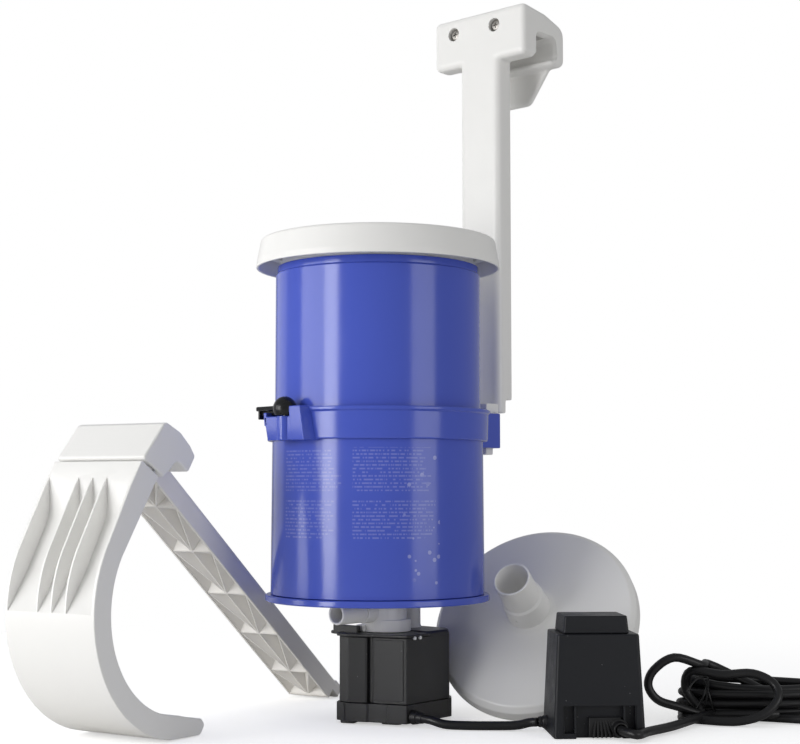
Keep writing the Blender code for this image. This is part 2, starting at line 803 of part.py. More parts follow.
def ring_bracket():
    """The bracket for an inflated ring: a curled plate on the head of a second arm."""
    middle = Matrix.Translation((0, 0, -BRACKET_WIDTH / 2 * MM))
    frame = upright_frame(BRACKET_PLACE, BRACKET_HEADING)
    plate = prism("ring_bracket_plate", [curl_outline()], BRACKET_WIDTH, WHITE, frame @ middle)
    pocket = [(-64, 228), (-52, 217), (-80, 170.5), (-109, 121), (-135, 121), (-135, 228)]
    flange, rib = 4.0, 3.0
    stations = [0, 34, 51, 68, BRACKET_WIDTH]
    for i, (start, end) in enumerate(zip(stations, stations[1:])):
        low = start + (flange if start == 0 else rib / 2)
        high = end - (flange if end == BRACKET_WIDTH else rib / 2)
        place = frame @ Matrix.Translation((0, 0, -(low + high) / 2 * MM))
        cut(plate, prism("plate_pocket_%d" % i, [pocket], high - low, WHITE, place))
    rail = [(-44, 243), (-37, 239), (-30, 249), (-37, 253)]
    place = frame @ move(0, 0, -(BRACKET_WIDTH - 4 + 4.5) / 2)
    join(plate, prism("plate_rail", [rail], BRACKET_WIDTH - 8.5, WHITE, place))
    head = [
        (-49.5, 257.5),
        (-22, 289),
        (-18, 291),
        (3, 282),
        (17, 270),
        (24.5, 260),
        (13, 244.5),
        (-2, 256),
        (-15, 244),
        (-21, 240.5),
    ]
    half = ARM_WIDTH / 2
    along = Matrix.Rotation(ARM_SLOPE, 4, "Z")
    side = Matrix.Translation(Vector((33.0, 246.0, -33.0 - half)) * MM)
    turn = Matrix(((0, 0, -1, 0), (0, -1, 0, 0), (-1, 0, 0, 0), (0, 0, 0, 1)))
    length = 374.0
    arm_frame = frame @ side @ along @ Matrix.Translation(Vector((length, 0, 0)) * MM) @ turn
    arm = arm_with_tongue("ring_bracket_arm", IVORY, arm_frame, length + 26, 6)
    join(arm, prism("bracket_head", [head], BRACKET_WIDTH, WHITE, frame @ middle))
    groove = [(-45, 241), (-36, 236), (-29, 249.5), (-37.5, 254.5)]
    place = frame @ move(0, 0, -(BRACKET_WIDTH + 10 + 4) / 2)
    cut(arm, prism("rail_groove", [groove], BRACKET_WIDTH + 6, WHITE, place))


def transformer():
    """The safety transformer: a tapered case, its cap and floor, and the wound core inside."""
    frame = Matrix.Translation(CASE_PLACE * MM) @ Matrix.Rotation(CASE_YAW, 4, "Z")
    case = tapered_box("transformer_case", (86, 67), (77, 60), CASE_HEIGHT, BLACK, frame)
    cut(case, box("case_hollow", (-34, -25, -10), (34, 26, 90), BLACK, frame))
    cut(case, box("case_recess", (-33, -40, -10), (33, -28, 32), BLACK, frame))
    cut(case, rod("case_cable_hole", 4.8, 20, 40, BLACK, frame @ axis_frame((18, 0, 9), (0, -1, 0))))
    box("transformer_floor", (-33.6, -24.6, FLOOR_GAP), (33.6, 25.6, 3), BLACK, frame)
    tapered_box("transformer_cap", (66, 50), (62, 47), 19.6, BLACK, frame @ move(0, 0, CASE_HEIGHT + GAP))
    core = box("transformer_core", (-28, -20, 12), (28, 20, 58), LAMINATE, frame)
    cut(core, box("core_window", (-18, -30, 22), (18, 30, 48), LAMINATE, frame))
    box("transformer_winding", (-16, -18, 23), (16, 18, 47), COPPER, frame)
    relief = frame @ axis_frame((18, -28.4, 9), (0, -1, 0))
    boot = rod("mains_strain_relief", 8.7, 0.4, 14, BLACK, relief, far_radius=7, steps=12)
    cut(boot, rod("mains_relief_bore", CABLE_RADIUS + 2 * GAP, -5, 30, BLACK, relief, steps=12))
    side = frame @ axis_frame((-43.6, 14, 9), (-1, 0, 0))
    rod("supply_strain_relief", 7, 0, 7, BLACK, side, far_radius=5.5, steps=12)


def pump_cable():
    """The low-voltage cable on the floor, from the pump's gland to the transformer."""
    gland = axis_frame((49.2, -2, 9), (1, 0, 0))
    rod("cable_gland", 7, 0, 12, BLACK, gland, far_radius=5.5, steps=12)
    path = [(62.4, -2, 9), (70, -1.5, 8.4), (84, 3, 5.2), (100, 13, 4.7), (122, 30, 4.7), (140, 42, 5.5)]
    path += [(150, 49.5, 8.2), (154.5, 51.3, 9.1)]
    wire("pump_cable", smooth_path(path, 3), CABLE_RADIUS, RUBBER)


def coil_frame():
    """The coil's own directions on the floor: its length, its depth and its centre."""
    along = Vector((math.cos(COIL_HEADING), math.sin(COIL_HEADING), 0))
    across = Vector((-along.y, along.x, 0))
    return along, across, Vector(COIL_CENTRE)


def coil_point(turns):
    """The place on the coil after some turns: the loops step inwards, then up, then outwards."""
    if turns < COIL_LAYER_TURNS:
        inset, layer = turns, 0.0
    elif turns < COIL_LAYER_TURNS + 1:
        inset, layer = COIL_LAYER_TURNS, turns - COIL_LAYER_TURNS
    else:
        inset, layer = 2 * COIL_LAYER_TURNS + 1 - turns, 1.0
    along, across, centre = coil_frame()
    angle = 2 * math.pi * turns
    long_radius = COIL_LENGTH / 2 - inset * COIL_PITCH
    short_radius = COIL_DEPTH / 2 - inset * COIL_PITCH
    place = centre - along * long_radius * math.cos(angle) - across * short_radius * math.sin(angle)
    return place + Vector((0, 0, COIL_LOW + layer * COIL_PITCH))


def mains_cable():
    """The mains cable: from the transformer into a loose coil, and on to its plug."""
    case = Matrix.Translation(CASE_PLACE) @ Matrix.Rotation(CASE_YAW, 4, "Z")
    along, across, centre = coil_frame()
    first = 0.25
    last = 6.25
    steps = 12
    coil = [coil_point(first + i / steps) for i in range(int((last - first) * steps) + 1)]
    lead_in = [case @ Vector(point) for point in ((18, -29.5, 9), (18, -38, 9), (18, -46, 8.9), (29, -58, 7), (60, -62, 6.9))]
    lead_in += [centre - along * 55 - across * (COIL_DEPTH / 2 + 4) + Vector((0, 0, COIL_LOW)), coil[0]]
    end = centre + along * (COIL_LENGTH / 2 + 28) - across * (COIL_DEPTH / 2 - 12)
    lead_out = [coil[-1], coil[-1] + along * 60 + Vector((0, 0, 1)), end + Vector((0, 0, PLUG_RADIUS + 1))]
    path = smooth_path(lead_in, 3)[:-1] + coil + smooth_path(lead_out, 3)[1:]
    wire("mains_cable", path, CABLE_RADIUS, RUBBER)
    heading = (path[-1] - path[-2]).normalized()
    heading = Vector((heading.x, heading.y, 0)).normalized()
    plug = axis_frame(path[-1] + heading * GAP, heading)
    body = rod("mains_plug", 8, 0, 16, BLACK, plug, far_radius=12)
    join(body, rod("plug_body", PLUG_RADIUS, 15, 42, BLACK, plug, steps=24))
    for i, side in enumerate((-1, 1), 1):
        pin = plug @ move(side * PLUG_PIN_SPACING / 2, 0, 0)
        rod("plug_pin_%d" % i, 2.4, 42 + GAP, 61, STEEL, pin, steps=12)


def cable_tie():
    """The tie that holds the coil's loops together at one end."""
    along, across, centre = coil_frame()
    outer_loop = COIL_LENGTH / 2 - COIL_PITCH
    inner_loop = COIL_LENGTH / 2 - COIL_LAYER_TURNS * COIL_PITCH
    reach = CABLE_RADIUS + 1.2
    left, right = -outer_loop - reach, -inner_loop + reach
    low, high = COIL_LOW - reach, COIL_LOW + COIL_PITCH + reach
    hole = [(left, low), (right, low), (right, high), (left, high)]
    rim = TIE_THICKNESS
    outer = [(left - rim, low - rim), (right + rim, low - rim), (right + rim, high + rim), (left - rim, high + rim)]
    prism("cable_tie", [outer, hole], 5, BLACK, upright_frame(centre, COIL_HEADING))


def main():
    """Build every part."""
    base_plate()
    lower_housing()
    collar_ring()
    upper_housing()
    housing_seal()
    float_ring()
    leaf_basket()
    filter_cartridge()
    hanger()
    hanger_clamp()
    latch()
    pump_body()
    pump_motor()
    pump_top()
    vacuum_plate()
    ring_bracket()
    transformer()
    pump_cable()
    mains_cable()
    cable_tie()


main()
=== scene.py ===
"""Looks of the hanging pool skimmer and its accessories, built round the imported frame.

Lengths are in millimetres and become metres through MM, except in the studio, which is in metres. Axes are
the frame's own: +Z up, +Y to the pool wall, the latch and the outlet towards -Y. The heights of the drum,
float ring, basket, cartridge and volute are read from the frame.
"""

import math

import bmesh
import bpy
from mathutils import Matrix, Vector


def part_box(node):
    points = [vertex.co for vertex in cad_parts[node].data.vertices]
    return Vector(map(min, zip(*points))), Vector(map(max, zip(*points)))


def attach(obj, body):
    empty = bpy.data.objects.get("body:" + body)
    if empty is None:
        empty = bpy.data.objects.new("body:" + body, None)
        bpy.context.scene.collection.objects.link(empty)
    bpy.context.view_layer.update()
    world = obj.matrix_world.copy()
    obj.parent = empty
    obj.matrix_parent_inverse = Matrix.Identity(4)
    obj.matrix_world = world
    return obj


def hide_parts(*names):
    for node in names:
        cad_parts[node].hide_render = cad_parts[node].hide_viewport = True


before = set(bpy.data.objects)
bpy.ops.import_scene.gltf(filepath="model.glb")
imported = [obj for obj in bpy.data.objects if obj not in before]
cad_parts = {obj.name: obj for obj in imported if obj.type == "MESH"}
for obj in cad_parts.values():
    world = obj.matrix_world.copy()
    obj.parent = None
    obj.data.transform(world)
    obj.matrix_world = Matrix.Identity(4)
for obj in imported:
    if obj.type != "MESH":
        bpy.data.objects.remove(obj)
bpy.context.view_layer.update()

MM = 0.001
TURN_STEPS = 160
SMALL_STEPS = 48
PASS_ANGLE = math.radians(38)
UP = math.radians(90)
TINY = 1e-4


# --- Shapes ---


def low_high(node):
    """The lowest and highest corner of a frame node, in millimetres."""
    low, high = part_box(node)
    return low / MM, high / MM


def move(x, y, z):
    """A shift in millimetres, as a matrix for points in millimetres."""
    return Matrix.Translation((x, y, z))


def axis_frame(place, axis):
    """A frame whose Z runs along an axis."""
    return Matrix.Translation(place) @ Vector(axis).to_track_quat("Z", "Y").to_matrix().to_4x4()


def upright_frame(place, heading):
    """A frame whose X runs along a heading on the floor and whose Y is up."""
    along = Vector((math.cos(heading), math.sin(heading), 0))
    up = Vector((0, 0, 1))
    turn = Matrix((along, up, along.cross(up))).transposed().to_4x4()
    return Matrix.Translation(place) @ turn


def link(name, data):
    """A new object in the scene, from a mesh, a light or a camera."""
    item = bpy.data.objects.new(name, data)
    bpy.context.scene.collection.objects.link(item)
    return item


def finish_mesh(name, work):
    """A new object from a mesh being edited."""
    mesh = bpy.data.meshes.new(name)
    work.to_mesh(mesh)
    work.free()
    return link(name, mesh)


def make_object(name, verts, faces, matrix=None):
    """A mesh object from points in millimetres."""
    matrix = matrix or Matrix()
    mesh = bpy.data.meshes.new(name)
    mesh.from_pydata([(matrix @ Vector(v)) * MM for v in verts], [], faces)
    work = bmesh.new()
    work.from_mesh(mesh)
    bmesh.ops.remove_doubles(work, verts=work.verts, dist=1e-7)
    bmesh.ops.recalc_face_normals(work, faces=work.faces)
    bpy.data.meshes.remove(mesh)
    return finish_mesh(name, work)


def skin(name, rings, matrix=None, closed=False, caps=True):
    """A surface through rings of points. Closed joins the last ring to the first."""
    count = len(rings[0])
    verts = [point for ring in rings for point in ring]
    faces = []
    for i in range(len(rings) if closed else len(rings) - 1):
        here, there = i * count, (i + 1) % len(rings) * count
        for k in range(count):
            after = (k + 1) % count
            faces.append((here + k, here + after, there + after, there + k))
    if caps and not closed:
        faces.append(tuple(reversed(range(count))))
        faces.append(tuple(range(len(verts) - count, len(verts))))
    return make_object(name, verts, faces, matrix)


def fillet(points, radius, steps=5):
    """Round the corners of a closed outline, with one radius for all corners or one for each."""
    points = [Vector(point) for point in points]
    count = len(points)
    radii = [radius] * count if isinstance(radius, (int, float)) else radius
    path = []
    for i, here in enumerate(points):
        before, after = points[i - 1] - here, points[(i + 1) % count] - here
        corner = before.angle(after)
        reach = radii[i] / math.tan(corner / 2) if corner > TINY else 0.0
        reach = min(reach, 0.49 * before.length, 0.49 * after.length)
        if reach < TINY:
            path.append(here)
            continue
        size = reach * math.tan(corner / 2)
        bisector = (before.normalized() + after.normalized()).normalized()
        centre = here + bisector * (size / math.sin(corner / 2))
        first = here + before.normalized() * reach - centre
        last = here + after.normalized() * reach - centre
        start = math.atan2(first.y, first.x)
        sweep = (math.atan2(last.y, last.x) - start + math.pi) % (2 * math.pi) - math.pi
        for k in range(steps + 1):
            angle = start + sweep * k / steps
            path.append(centre + Vector((math.cos(angle), math.sin(angle))) * size)
    return path


def anticlockwise(points):
    """The same outline, turned to run anticlockwise."""
    area = sum(a.x * b.y - b.x * a.y for a, b in zip(points, points[1:] + points[:1]))
    return points if area > 0 else points[::-1]


def inset(points, amount):
    """An anticlockwise outline moved inwards."""
    moved = []
    for i, here in enumerate(points):
        before = (here - points[i - 1]).normalized()
        after = (points[(i + 1) % len(points)] - here).normalized()
        side = Vector((-before.y, before.x))
        middle = (side + Vector((-after.y, after.x))).normalized()
        moved.append(here + middle * amount / max(0.35, middle.dot(side)))
    return moved


def prism(name, outline, low, high, edge=0.0, matrix=None, top=None, steps=3):
    """An outline pulled up from low to high, with rounded rims. Top is the outline at the upper end."""
    outline = anticlockwise([Vector(point) for point in outline])
    top = anticlockwise([Vector(point) for point in top]) if top else outline
    levels = [(low, edge)]
    if edge:
        for k in range(1, steps + 1):
            angle = math.pi / 2 * k / steps
            levels.append((low + edge * (1 - math.cos(angle)), edge * (1 - math.sin(angle))))
        for k in range(steps, 0, -1):
            angle = math.pi / 2 * k / steps
            levels.append((high - edge * (1 - math.cos(angle)), edge * (1 - math.sin(angle))))
    levels.append((high, edge))
    rings = []
    for height, amount in levels:
        share = (height - low) / (high - low)
        ring = [a.lerp(b, share) for a, b in zip(outline, top)]
        ring = inset(ring, amount) if amount else ring
        rings.append([(point.x, point.y, height) for point in ring])
    return skin(name, rings, matrix)


def rectangle(x_low, y_low, x_high, y_high, radius=0.0, steps=5):
    """An outline with square or rounded corners."""
    corners = [(x_low, y_low), (x_high, y_low), (x_high, y_high), (x_low, y_high)]
    return fillet(corners, radius, steps) if radius else [Vector(corner) for corner in corners]


def block(name, low, high, edge=0.0, corner=0.0, matrix=None):
    """A box between two corners, with rounded upright edges and rims."""
    outline = rectangle(low[0], low[1], high[0], high[1], corner or edge, 4)
    return prism(name, outline, low[2], high[2], edge, matrix)


def turned(name, profile, matrix=None, steps=TURN_STEPS, rounding=0.0, round_steps=4):
    """A closed profile of radius and height turned round Z. A profile on the axis is left open there."""
    on_axis = profile[0][0] == 0 and profile[-1][0] == 0
    if rounding:
        radii = [rounding] * len(profile) if isinstance(rounding, (int, float)) else list(rounding)
        if on_axis:
            radii[0] = radii[-1] = 0.0
        profile = [tuple(point) for point in fillet(profile, radii, round_steps)]
    angles = [2 * math.pi * k / steps for k in range(steps)]
    rings = []
    for radius, height in profile:
        rings.append([(radius * math.cos(angle), radius * math.sin(angle), height) for angle in angles])
    return skin(name, rings, matrix, closed=not on_axis, caps=False)


def rod(name, radius, low, high, matrix=None, edge=0.4, far_radius=None, steps=SMALL_STEPS):
    """A round bar or cone with softly rounded rims."""
    far = radius if far_radius is None else far_radius
    return turned(name, [(0, high), (far, high), (radius, low), (0, low)], matrix, steps, edge, 3)


def smooth_path(points, steps):
    """A smooth path through points, by Catmull-Rom interpolation."""
    points = [Vector(point) for point in points]
    ends = [2 * points[0] - points[1]] + points + [2 * points[-1] - points[-2]]
    path = []
    for a, b, c, d in zip(ends, ends[1:], ends[2:], ends[3:]):
        square = 2 * a - 5 * b + 4 * c - d
        cube = 3 * b - a - 3 * c + d
        for k in range(steps):
            t = k / steps
            path.append(0.5 * (2 * b + (c - a) * t + square * t * t + cube * t ** 3))
    path.append(points[-1])
    return path


def sweep(name, path, radius, sides=20):
    """A round cable along a path, with domed ends."""
    last = len(path) - 1
    directions = [(path[min(i + 1, last)] - path[max(i - 1, 0)]).normalized() for i in range(last + 1)]
    across = directions[0].orthogonal().normalized()
    frames = []
    for along in directions:
        across = (across - along * across.dot(along)).normalized()
        frames.append((across, along.cross(across)))
    dome = [(-0.45, 0.5), (-0.27, 0.86), (0.0, 1.0)]
    rings = []
    for shift, share in dome:
        centre = path[0] + directions[0] * shift * radius
        rings.append(circle_points(centre, *frames[0], radius * share, sides))
    for place, frame_here in zip(path[1:-1], frames[1:-1]):
        rings.append(circle_points(place, *frame_here, radius, sides))
    for shift, share in reversed(dome):
        centre = path[-1] - directions[-1] * shift * radius
        rings.append(circle_points(centre, *frames[-1], radius * share, sides))
    return skin(name, rings)


def circle_points(centre, across, side, radius, count):
    """Points round a circle between two directions."""
    angles = [2 * math.pi * k / count for k in range(count)]
    return [centre + across * radius * math.cos(a) + side * radius * math.sin(a) for a in angles]


def merge(name, items):
    """One object from several, without cutting them together."""
    work = bmesh.new()
    for item in items:
        work.from_mesh(item.data)
        bpy.data.objects.remove(item, do_unlink=True)
    return finish_mesh(name, work)


def bake(item):
    """Apply an object's modifiers to its mesh."""
    bpy.context.view_layer.update()
    mesh = bpy.data.meshes.new_from_object(item.evaluated_get(bpy.context.evaluated_depsgraph_get()))
    item.modifiers.clear()
    item.data = mesh
    return item


def boolean(target, tool, operation):
    """Cut a tool from a target or join it, at once."""
    change = target.modifiers.new("change", "BOOLEAN")
    change.operation = operation
    change.object = tool
    change.solver = "MANIFOLD"
    bake(target)
    bpy.data.objects.remove(tool, do_unlink=True)
    return target


def cut(target, *tools):
    """Cut tools away from a target."""
    for tool in tools:
        boolean(target, tool, "DIFFERENCE")
    return target


def join(target, *tools):
    """Join tools to a target."""
    for tool in tools:
        boolean(target, tool, "UNION")
    return target


def melt(item, voxel, passes):
    """Flow an object's edges and inner corners into one another, as a mould does."""
    remesh = item.modifiers.new("voxels", "REMESH")
    remesh.mode = "VOXEL"
    remesh.voxel_size = voxel * MM
    relax = item.modifiers.new("relax", "SMOOTH")
    relax.factor = 0.5
    relax.iterations = passes
    return bake(item)


def piece(item, body, material, *nodes, angle=PASS_ANGLE):
    """Shade a finished mesh, paint it and hang it on its body in place of frame nodes."""
    item.data.materials.clear()
    item.data.materials.append(material)
    item.data.shade_smooth()
    item.data.set_sharp_from_angle(angle=angle)
    item.modifiers.new("weigh", "WEIGHTED_NORMAL").keep_sharp = True
    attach(item, body)
    if nodes:
        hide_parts(*nodes)


# --- Materials ---


class Nodes:
    """Builds a node tree with short calls."""

    def __init__(self, owner):
        self.owner = owner
        owner.use_nodes = True
        self.tree = owner.node_tree
        self.shader = self.tree.nodes.get("Principled BSDF")

    def fill(self, node, inputs):
        """Give a node's inputs, by name or number, their values or another node's output."""
        for key, value in inputs.items():
            if isinstance(value, bpy.types.NodeSocket):
                self.tree.links.new(value, node.inputs[key])
            else:
                node.inputs[key].default_value = value

    def add(self, kind, inputs=None, **settings):
        """A node with its settings and inputs."""
        node = self.tree.nodes.new(kind)
        for key, value in settings.items():
            setattr(node, key, value)
        self.fill(node, inputs or {})
        return node

    def math(self, operation, *values):
        """A math node's result."""
        return self.add("ShaderNodeMath", dict(enumerate(values)), operation=operation).outputs[0]

    def product(self, first, *others):
        """Values multiplied by one another."""
        for value in others:
            first = self.math("MULTIPLY", first, value)
        return first

    def between(self, value, low, high):
        """One where a value lies between two limits, and zero elsewhere."""
        return self.product(self.math("GREATER_THAN", value, low), self.math("LESS_THAN", value, high))

    def position(self):
        """The place on the object, in metres."""
        return self.add("ShaderNodeTexCoord").outputs["Object"]

    def noise(self, scale, detail=2.0, roughness=0.5, vector=None):
        """A noise value about 0.5."""
        inputs = {"Scale": scale, "Detail": detail, "Roughness": roughness}
        inputs["Vector"] = vector or self.position()
        return self.add("ShaderNodeTexNoise", inputs).outputs["Fac"]

    def cells(self, scale, size):
        """Round spots of a size in scattered cells, and the node they come from."""
        node = self.add("ShaderNodeTexVoronoi", {"Vector": self.position(), "Scale": scale})
        return self.math("LESS_THAN", node.outputs["Distance"], size), node

    def ramp(self, value, low, high, **settings):
        """A value stretched so that low becomes 0 and high becomes 1."""
        inputs = {"Value": value, "From Min": low, "From Max": high}
        return self.add("ShaderNodeMapRange", inputs, clamp=True, **settings).outputs["Result"]

    def mix(self, share, first, second):
        """A blend of two colours."""
        inputs = {"Factor": share, 6: first, 7: second}
        return self.add("ShaderNodeMix", inputs, data_type="RGBA").outputs[2]

    def bump(self, height, strength, distance):
        """Relief on the shader's normal."""
        node = self.add("ShaderNodeBump", {"Height": height, "Strength": strength, "Distance": distance})
        self.fill(self.shader, {"Normal": node.outputs["Normal"]})

    def plain(self, kind, colour, strength):
        """A background or an emission of one colour and strength."""
        return self.add(kind, {"Color": (*colour, 1.0), "Strength": strength}).outputs[0]

    def for_camera(self, hidden, seen):
        """A shader that the camera sees differently from all other rays."""
        rays = self.add("ShaderNodeLightPath").outputs["Is Camera Ray"]
        return self.add("ShaderNodeMixShader", {0: rays, 1: hidden, 2: seen}).outputs[0]


def shade(colour, amount):
    """A colour made lighter or darker, with its alpha."""
    return (*[min(1.0, channel * amount) for channel in colour], 1.0)


def plastic(name, colour, roughness, grain=900.0, relief=0.05, spread=0.05, specular=0.5, dust=0, flow=0):
    """Moulded plastic: slight clouding, a fine grain, uneven gloss and, if asked, specks of dust."""
    nodes = Nodes(bpy.data.materials.new(name))
    colour_out = nodes.mix(nodes.noise(9.0, 3.0), shade(colour, 1 - spread), shade(colour, 1 + spread))
    if dust:
        spots, cells = nodes.cells(260.0, 0.10)
        picker = nodes.add("ShaderNodeSeparateColor", {0: cells.outputs["Color"]})
        some = nodes.math("GREATER_THAN", picker.outputs[0], 1 - dust)
        colour_out = nodes.mix(nodes.product(spots, some, 0.5), colour_out, DUST_COLOUR)
    scuffs = nodes.ramp(nodes.noise(60.0, 4.0, 0.6), 0.35, 0.75)
    rough = nodes.math("MULTIPLY_ADD", scuffs, roughness * 0.35, roughness * 0.85)
    nodes.fill(nodes.shader, {"Base Color": colour_out, "Roughness": rough, "Specular IOR Level": specular})
    height = nodes.noise(grain, 2.0)
    if flow:
        height = nodes.math("ADD", height, nodes.product(nodes.noise(22.0, 1.0), flow))
    nodes.bump(height, relief, 0.0006)
    return nodes.owner


def printed_plastic(name, colour, roughness):
    """The drum's blue plastic with columns of plain dashes, as faint print, and light spots of water drops
    painted as glints where the right light's highlight falls.
    """
    nodes = Nodes(plastic(name, colour, roughness, relief=0.012, flow=3.0))
    across, depth, height = nodes.add("ShaderNodeSeparateXYZ", {0: nodes.position()}).outputs
    arc_length = nodes.product(nodes.math("ARCTAN2", across, nodes.product(depth, -1.0)), PRINT_RADIUS * MM)
    rows = nodes.math("DIVIDE", height, PRINT_PITCH * MM)
    row = nodes.math("FLOOR", rows)
    line = nodes.math("LESS_THAN", nodes.math("FRACT", rows), PRINT_LINE)
    place = {0: nodes.product(arc_length, 520.0), 1: nodes.product(row, 7.31)}
    place = nodes.add("ShaderNodeCombineXYZ", place).outputs[0]
    dashes = nodes.math("GREATER_THAN", nodes.noise(1.0, 0.0, vector=place), 0.46)
    ragged = nodes.add("ShaderNodeTexWhiteNoise", {"W": row}, noise_dimensions="1D").outputs["Value"]
    print_mask = 0.0
    for left, right, low, high in PRINT_BLOCKS:
        edge = nodes.math("MULTIPLY_ADD", ragged, -PRINT_RAGGED * MM, right * MM)
        inside = nodes.between(arc_length, left * MM, edge)
        inside = nodes.product(inside, nodes.between(height, low * MM, high * MM))
        print_mask = nodes.math("MAXIMUM", print_mask, inside)
    print_mask = nodes.product(print_mask, line, dashes)
    # Painted highlights: light spots of water drops, only in the band where the right light's highlight
    # falls on the drum.
    field = nodes.ramp(nodes.noise(13.0, 2.0), 0.36, 0.42)
    near = nodes.between(arc_length, (DROP_GLINT_ARC - DROP_GLINT_REACH) * MM, (DROP_GLINT_ARC + DROP_GLINT_REACH) * MM)
    below = nodes.math("LESS_THAN", height, DROP_GLINT_HIGH * MM)
    drop_glint_mask = nodes.product(nodes.cells(95.0, 0.19)[0], field, near, below)
    print_and_glints = nodes.math("MAXIMUM", nodes.product(print_mask, 0.32), nodes.product(drop_glint_mask, 0.6))
    ground = nodes.shader.inputs["Base Color"].links[0].from_socket
    nodes.fill(nodes.shader, {"Base Color": nodes.mix(print_and_glints, ground, PRINT_AND_GLINT_COLOUR)})
    return nodes.owner


def metal(name, colour, roughness):
    """Plated or wound metal with fine scratches."""
    nodes = Nodes(bpy.data.materials.new(name))
    worn = nodes.noise(140.0, 4.0, 0.65)
    colour_out = nodes.mix(worn, shade(colour, 0.65), shade(colour, 1.15))
    rough = nodes.math("MULTIPLY_ADD", worn, 0.2, roughness)
    nodes.fill(nodes.shader, {"Base Color": colour_out, "Metallic": 1.0, "Roughness": rough})
    nodes.bump(nodes.noise(1500.0, 2.0), 0.1, 0.0002)
    return nodes.owner


def fleece(name, colour):
    """Pressed filter fibre."""
    nodes = Nodes(bpy.data.materials.new(name))
    fibres = nodes.noise(2200.0, 6.0, 0.8)
    colour_out = nodes.mix(fibres, shade(colour, 0.82), shade(colour, 1.08))
    nodes.fill(nodes.shader, {"Base Color": colour_out, "Roughness": 0.95, "Sheen Weight": 0.3})
    nodes.bump(fibres, 0.5, 0.0006)
    return nodes.owner


# Print on the lower drum: blocks as arc lengths from its front and heights, and the band where drops are
# painted as glints of the right light's highlight
PRINT_RADIUS = 106.0
PRINT_PITCH = 3.4
PRINT_LINE = 0.42
PRINT_RAGGED = 12.0
PRINT_BLOCKS = [(-27, 44, 228, 268), (-27, 36, 182, 220), (54, 132, 228, 269), (54, 136, 182, 220)]
DROP_GLINT_ARC = 121.0
DROP_GLINT_REACH = 19.0
DROP_GLINT_HIGH = 270.0

# Colour of the print, also used for the drops' painted glints
PRINT_AND_GLINT_COLOUR = (0.40, 0.43, 0.74, 1.0)
DUST_COLOUR = (0.35, 0.35, 0.36, 1.0)
BLUE_COLOUR = (0.064, 0.104, 0.54)

BLUE = plastic("blue_plastic", BLUE_COLOUR, 0.17, relief=0.012, flow=3.0)
PRINTED_BLUE = printed_plastic("printed_blue_plastic", BLUE_COLOUR, 0.17)
WHITE = plastic("white_plastic", (0.88, 0.875, 0.855), 0.34, relief=0.03, spread=0.02)
# A darker, warmer copy of the white plastic: painted shade on the ring bracket's ribbed arm.
SHADED_WHITE = plastic("ivory_plastic", (0.87, 0.85, 0.81), 0.42, relief=0.04, spread=0.05)
PUMP_BLACK = plastic("black_plastic_matte", (0.008, 0.008, 0.009), 0.33, 2600.0, 0.25, 0.05, 0.65, 0.02)
CASE_BLACK = plastic("black_plastic_case", (0.009, 0.010, 0.013), 0.42, 2600.0, 0.25, 0.05, 0.35, 0.10)
GLOSS_BLACK = plastic("black_plastic_gloss", (0.010, 0.010, 0.011), 0.26, relief=0.02, specular=0.35)
RUBBER = plastic("black_rubber", (0.011, 0.011, 0.012), 0.36, 1800.0, 0.10, spread=0.15, specular=0.4)
STEEL = metal("screw_steel", (0.50, 0.48, 0.45), 0.28)
COPPER = metal("copper_winding", (0.72, 0.30, 0.14), 0.30)
LAMINATE = metal("core_laminate", (0.20, 0.20, 0.21), 0.42)
FLEECE = fleece("filter_fleece", (0.80, 0.82, 0.84))


# --- Drum, float ring and filter ---

DRUM_WALL = 3.0
DRUM_BORE = 106.0


def drum():
    """The drum's floor, the two blue shells and the seal between them."""
    low, high = low_high("base_plate")
    radius = high.x
    profile = [(radius, high.z), (radius + 0.4, low.z), (10, low.z), (10, high.z - 3)]
    profile += [(98, high.z - 3), (98, high.z)]
    piece(turned("drum_floor", profile, rounding=1.4), "skimmer", BLUE, "base_plate")

    low, high = low_high("lower_housing")
    foot = high.x
    profile = [(foot - 1, high.z), (foot, low.z), (foot - DRUM_WALL, low.z), (foot - DRUM_WALL - 1, high.z)]
    item = turned("lower_drum", profile, rounding=0.6)
    piece(item, "skimmer", PRINTED_BLUE, "lower_housing")

    low, high = low_high("upper_housing")
    rim = high.x
    radius = rim - 2.5
    inner = radius - DRUM_WALL
    ledge = 322.0
    item = turned(
        "upper_drum_shell",
        [
            (radius - 1.5, high.z), (radius - 1.5, high.z - 7), (radius, high.z - 8.5), (radius, low.z + 4),
            (rim, low.z + 3.8), (rim, low.z), (inner, low.z), (inner, ledge - 4), (80, ledge - 4),
            (80, ledge), (inner, ledge), (inner, high.z),
        ],
        rounding=0.6,
    )
    piece(item, "upper_drum", BLUE, "upper_housing")

    low, high = low_high("housing_seal")
    item = turned("drum_seal", [(105, high.z), (105, low.z), (102.5, low.z), (102.5, high.z)], rounding=1.1)
    piece(item, "skimmer", RUBBER, "housing_seal")


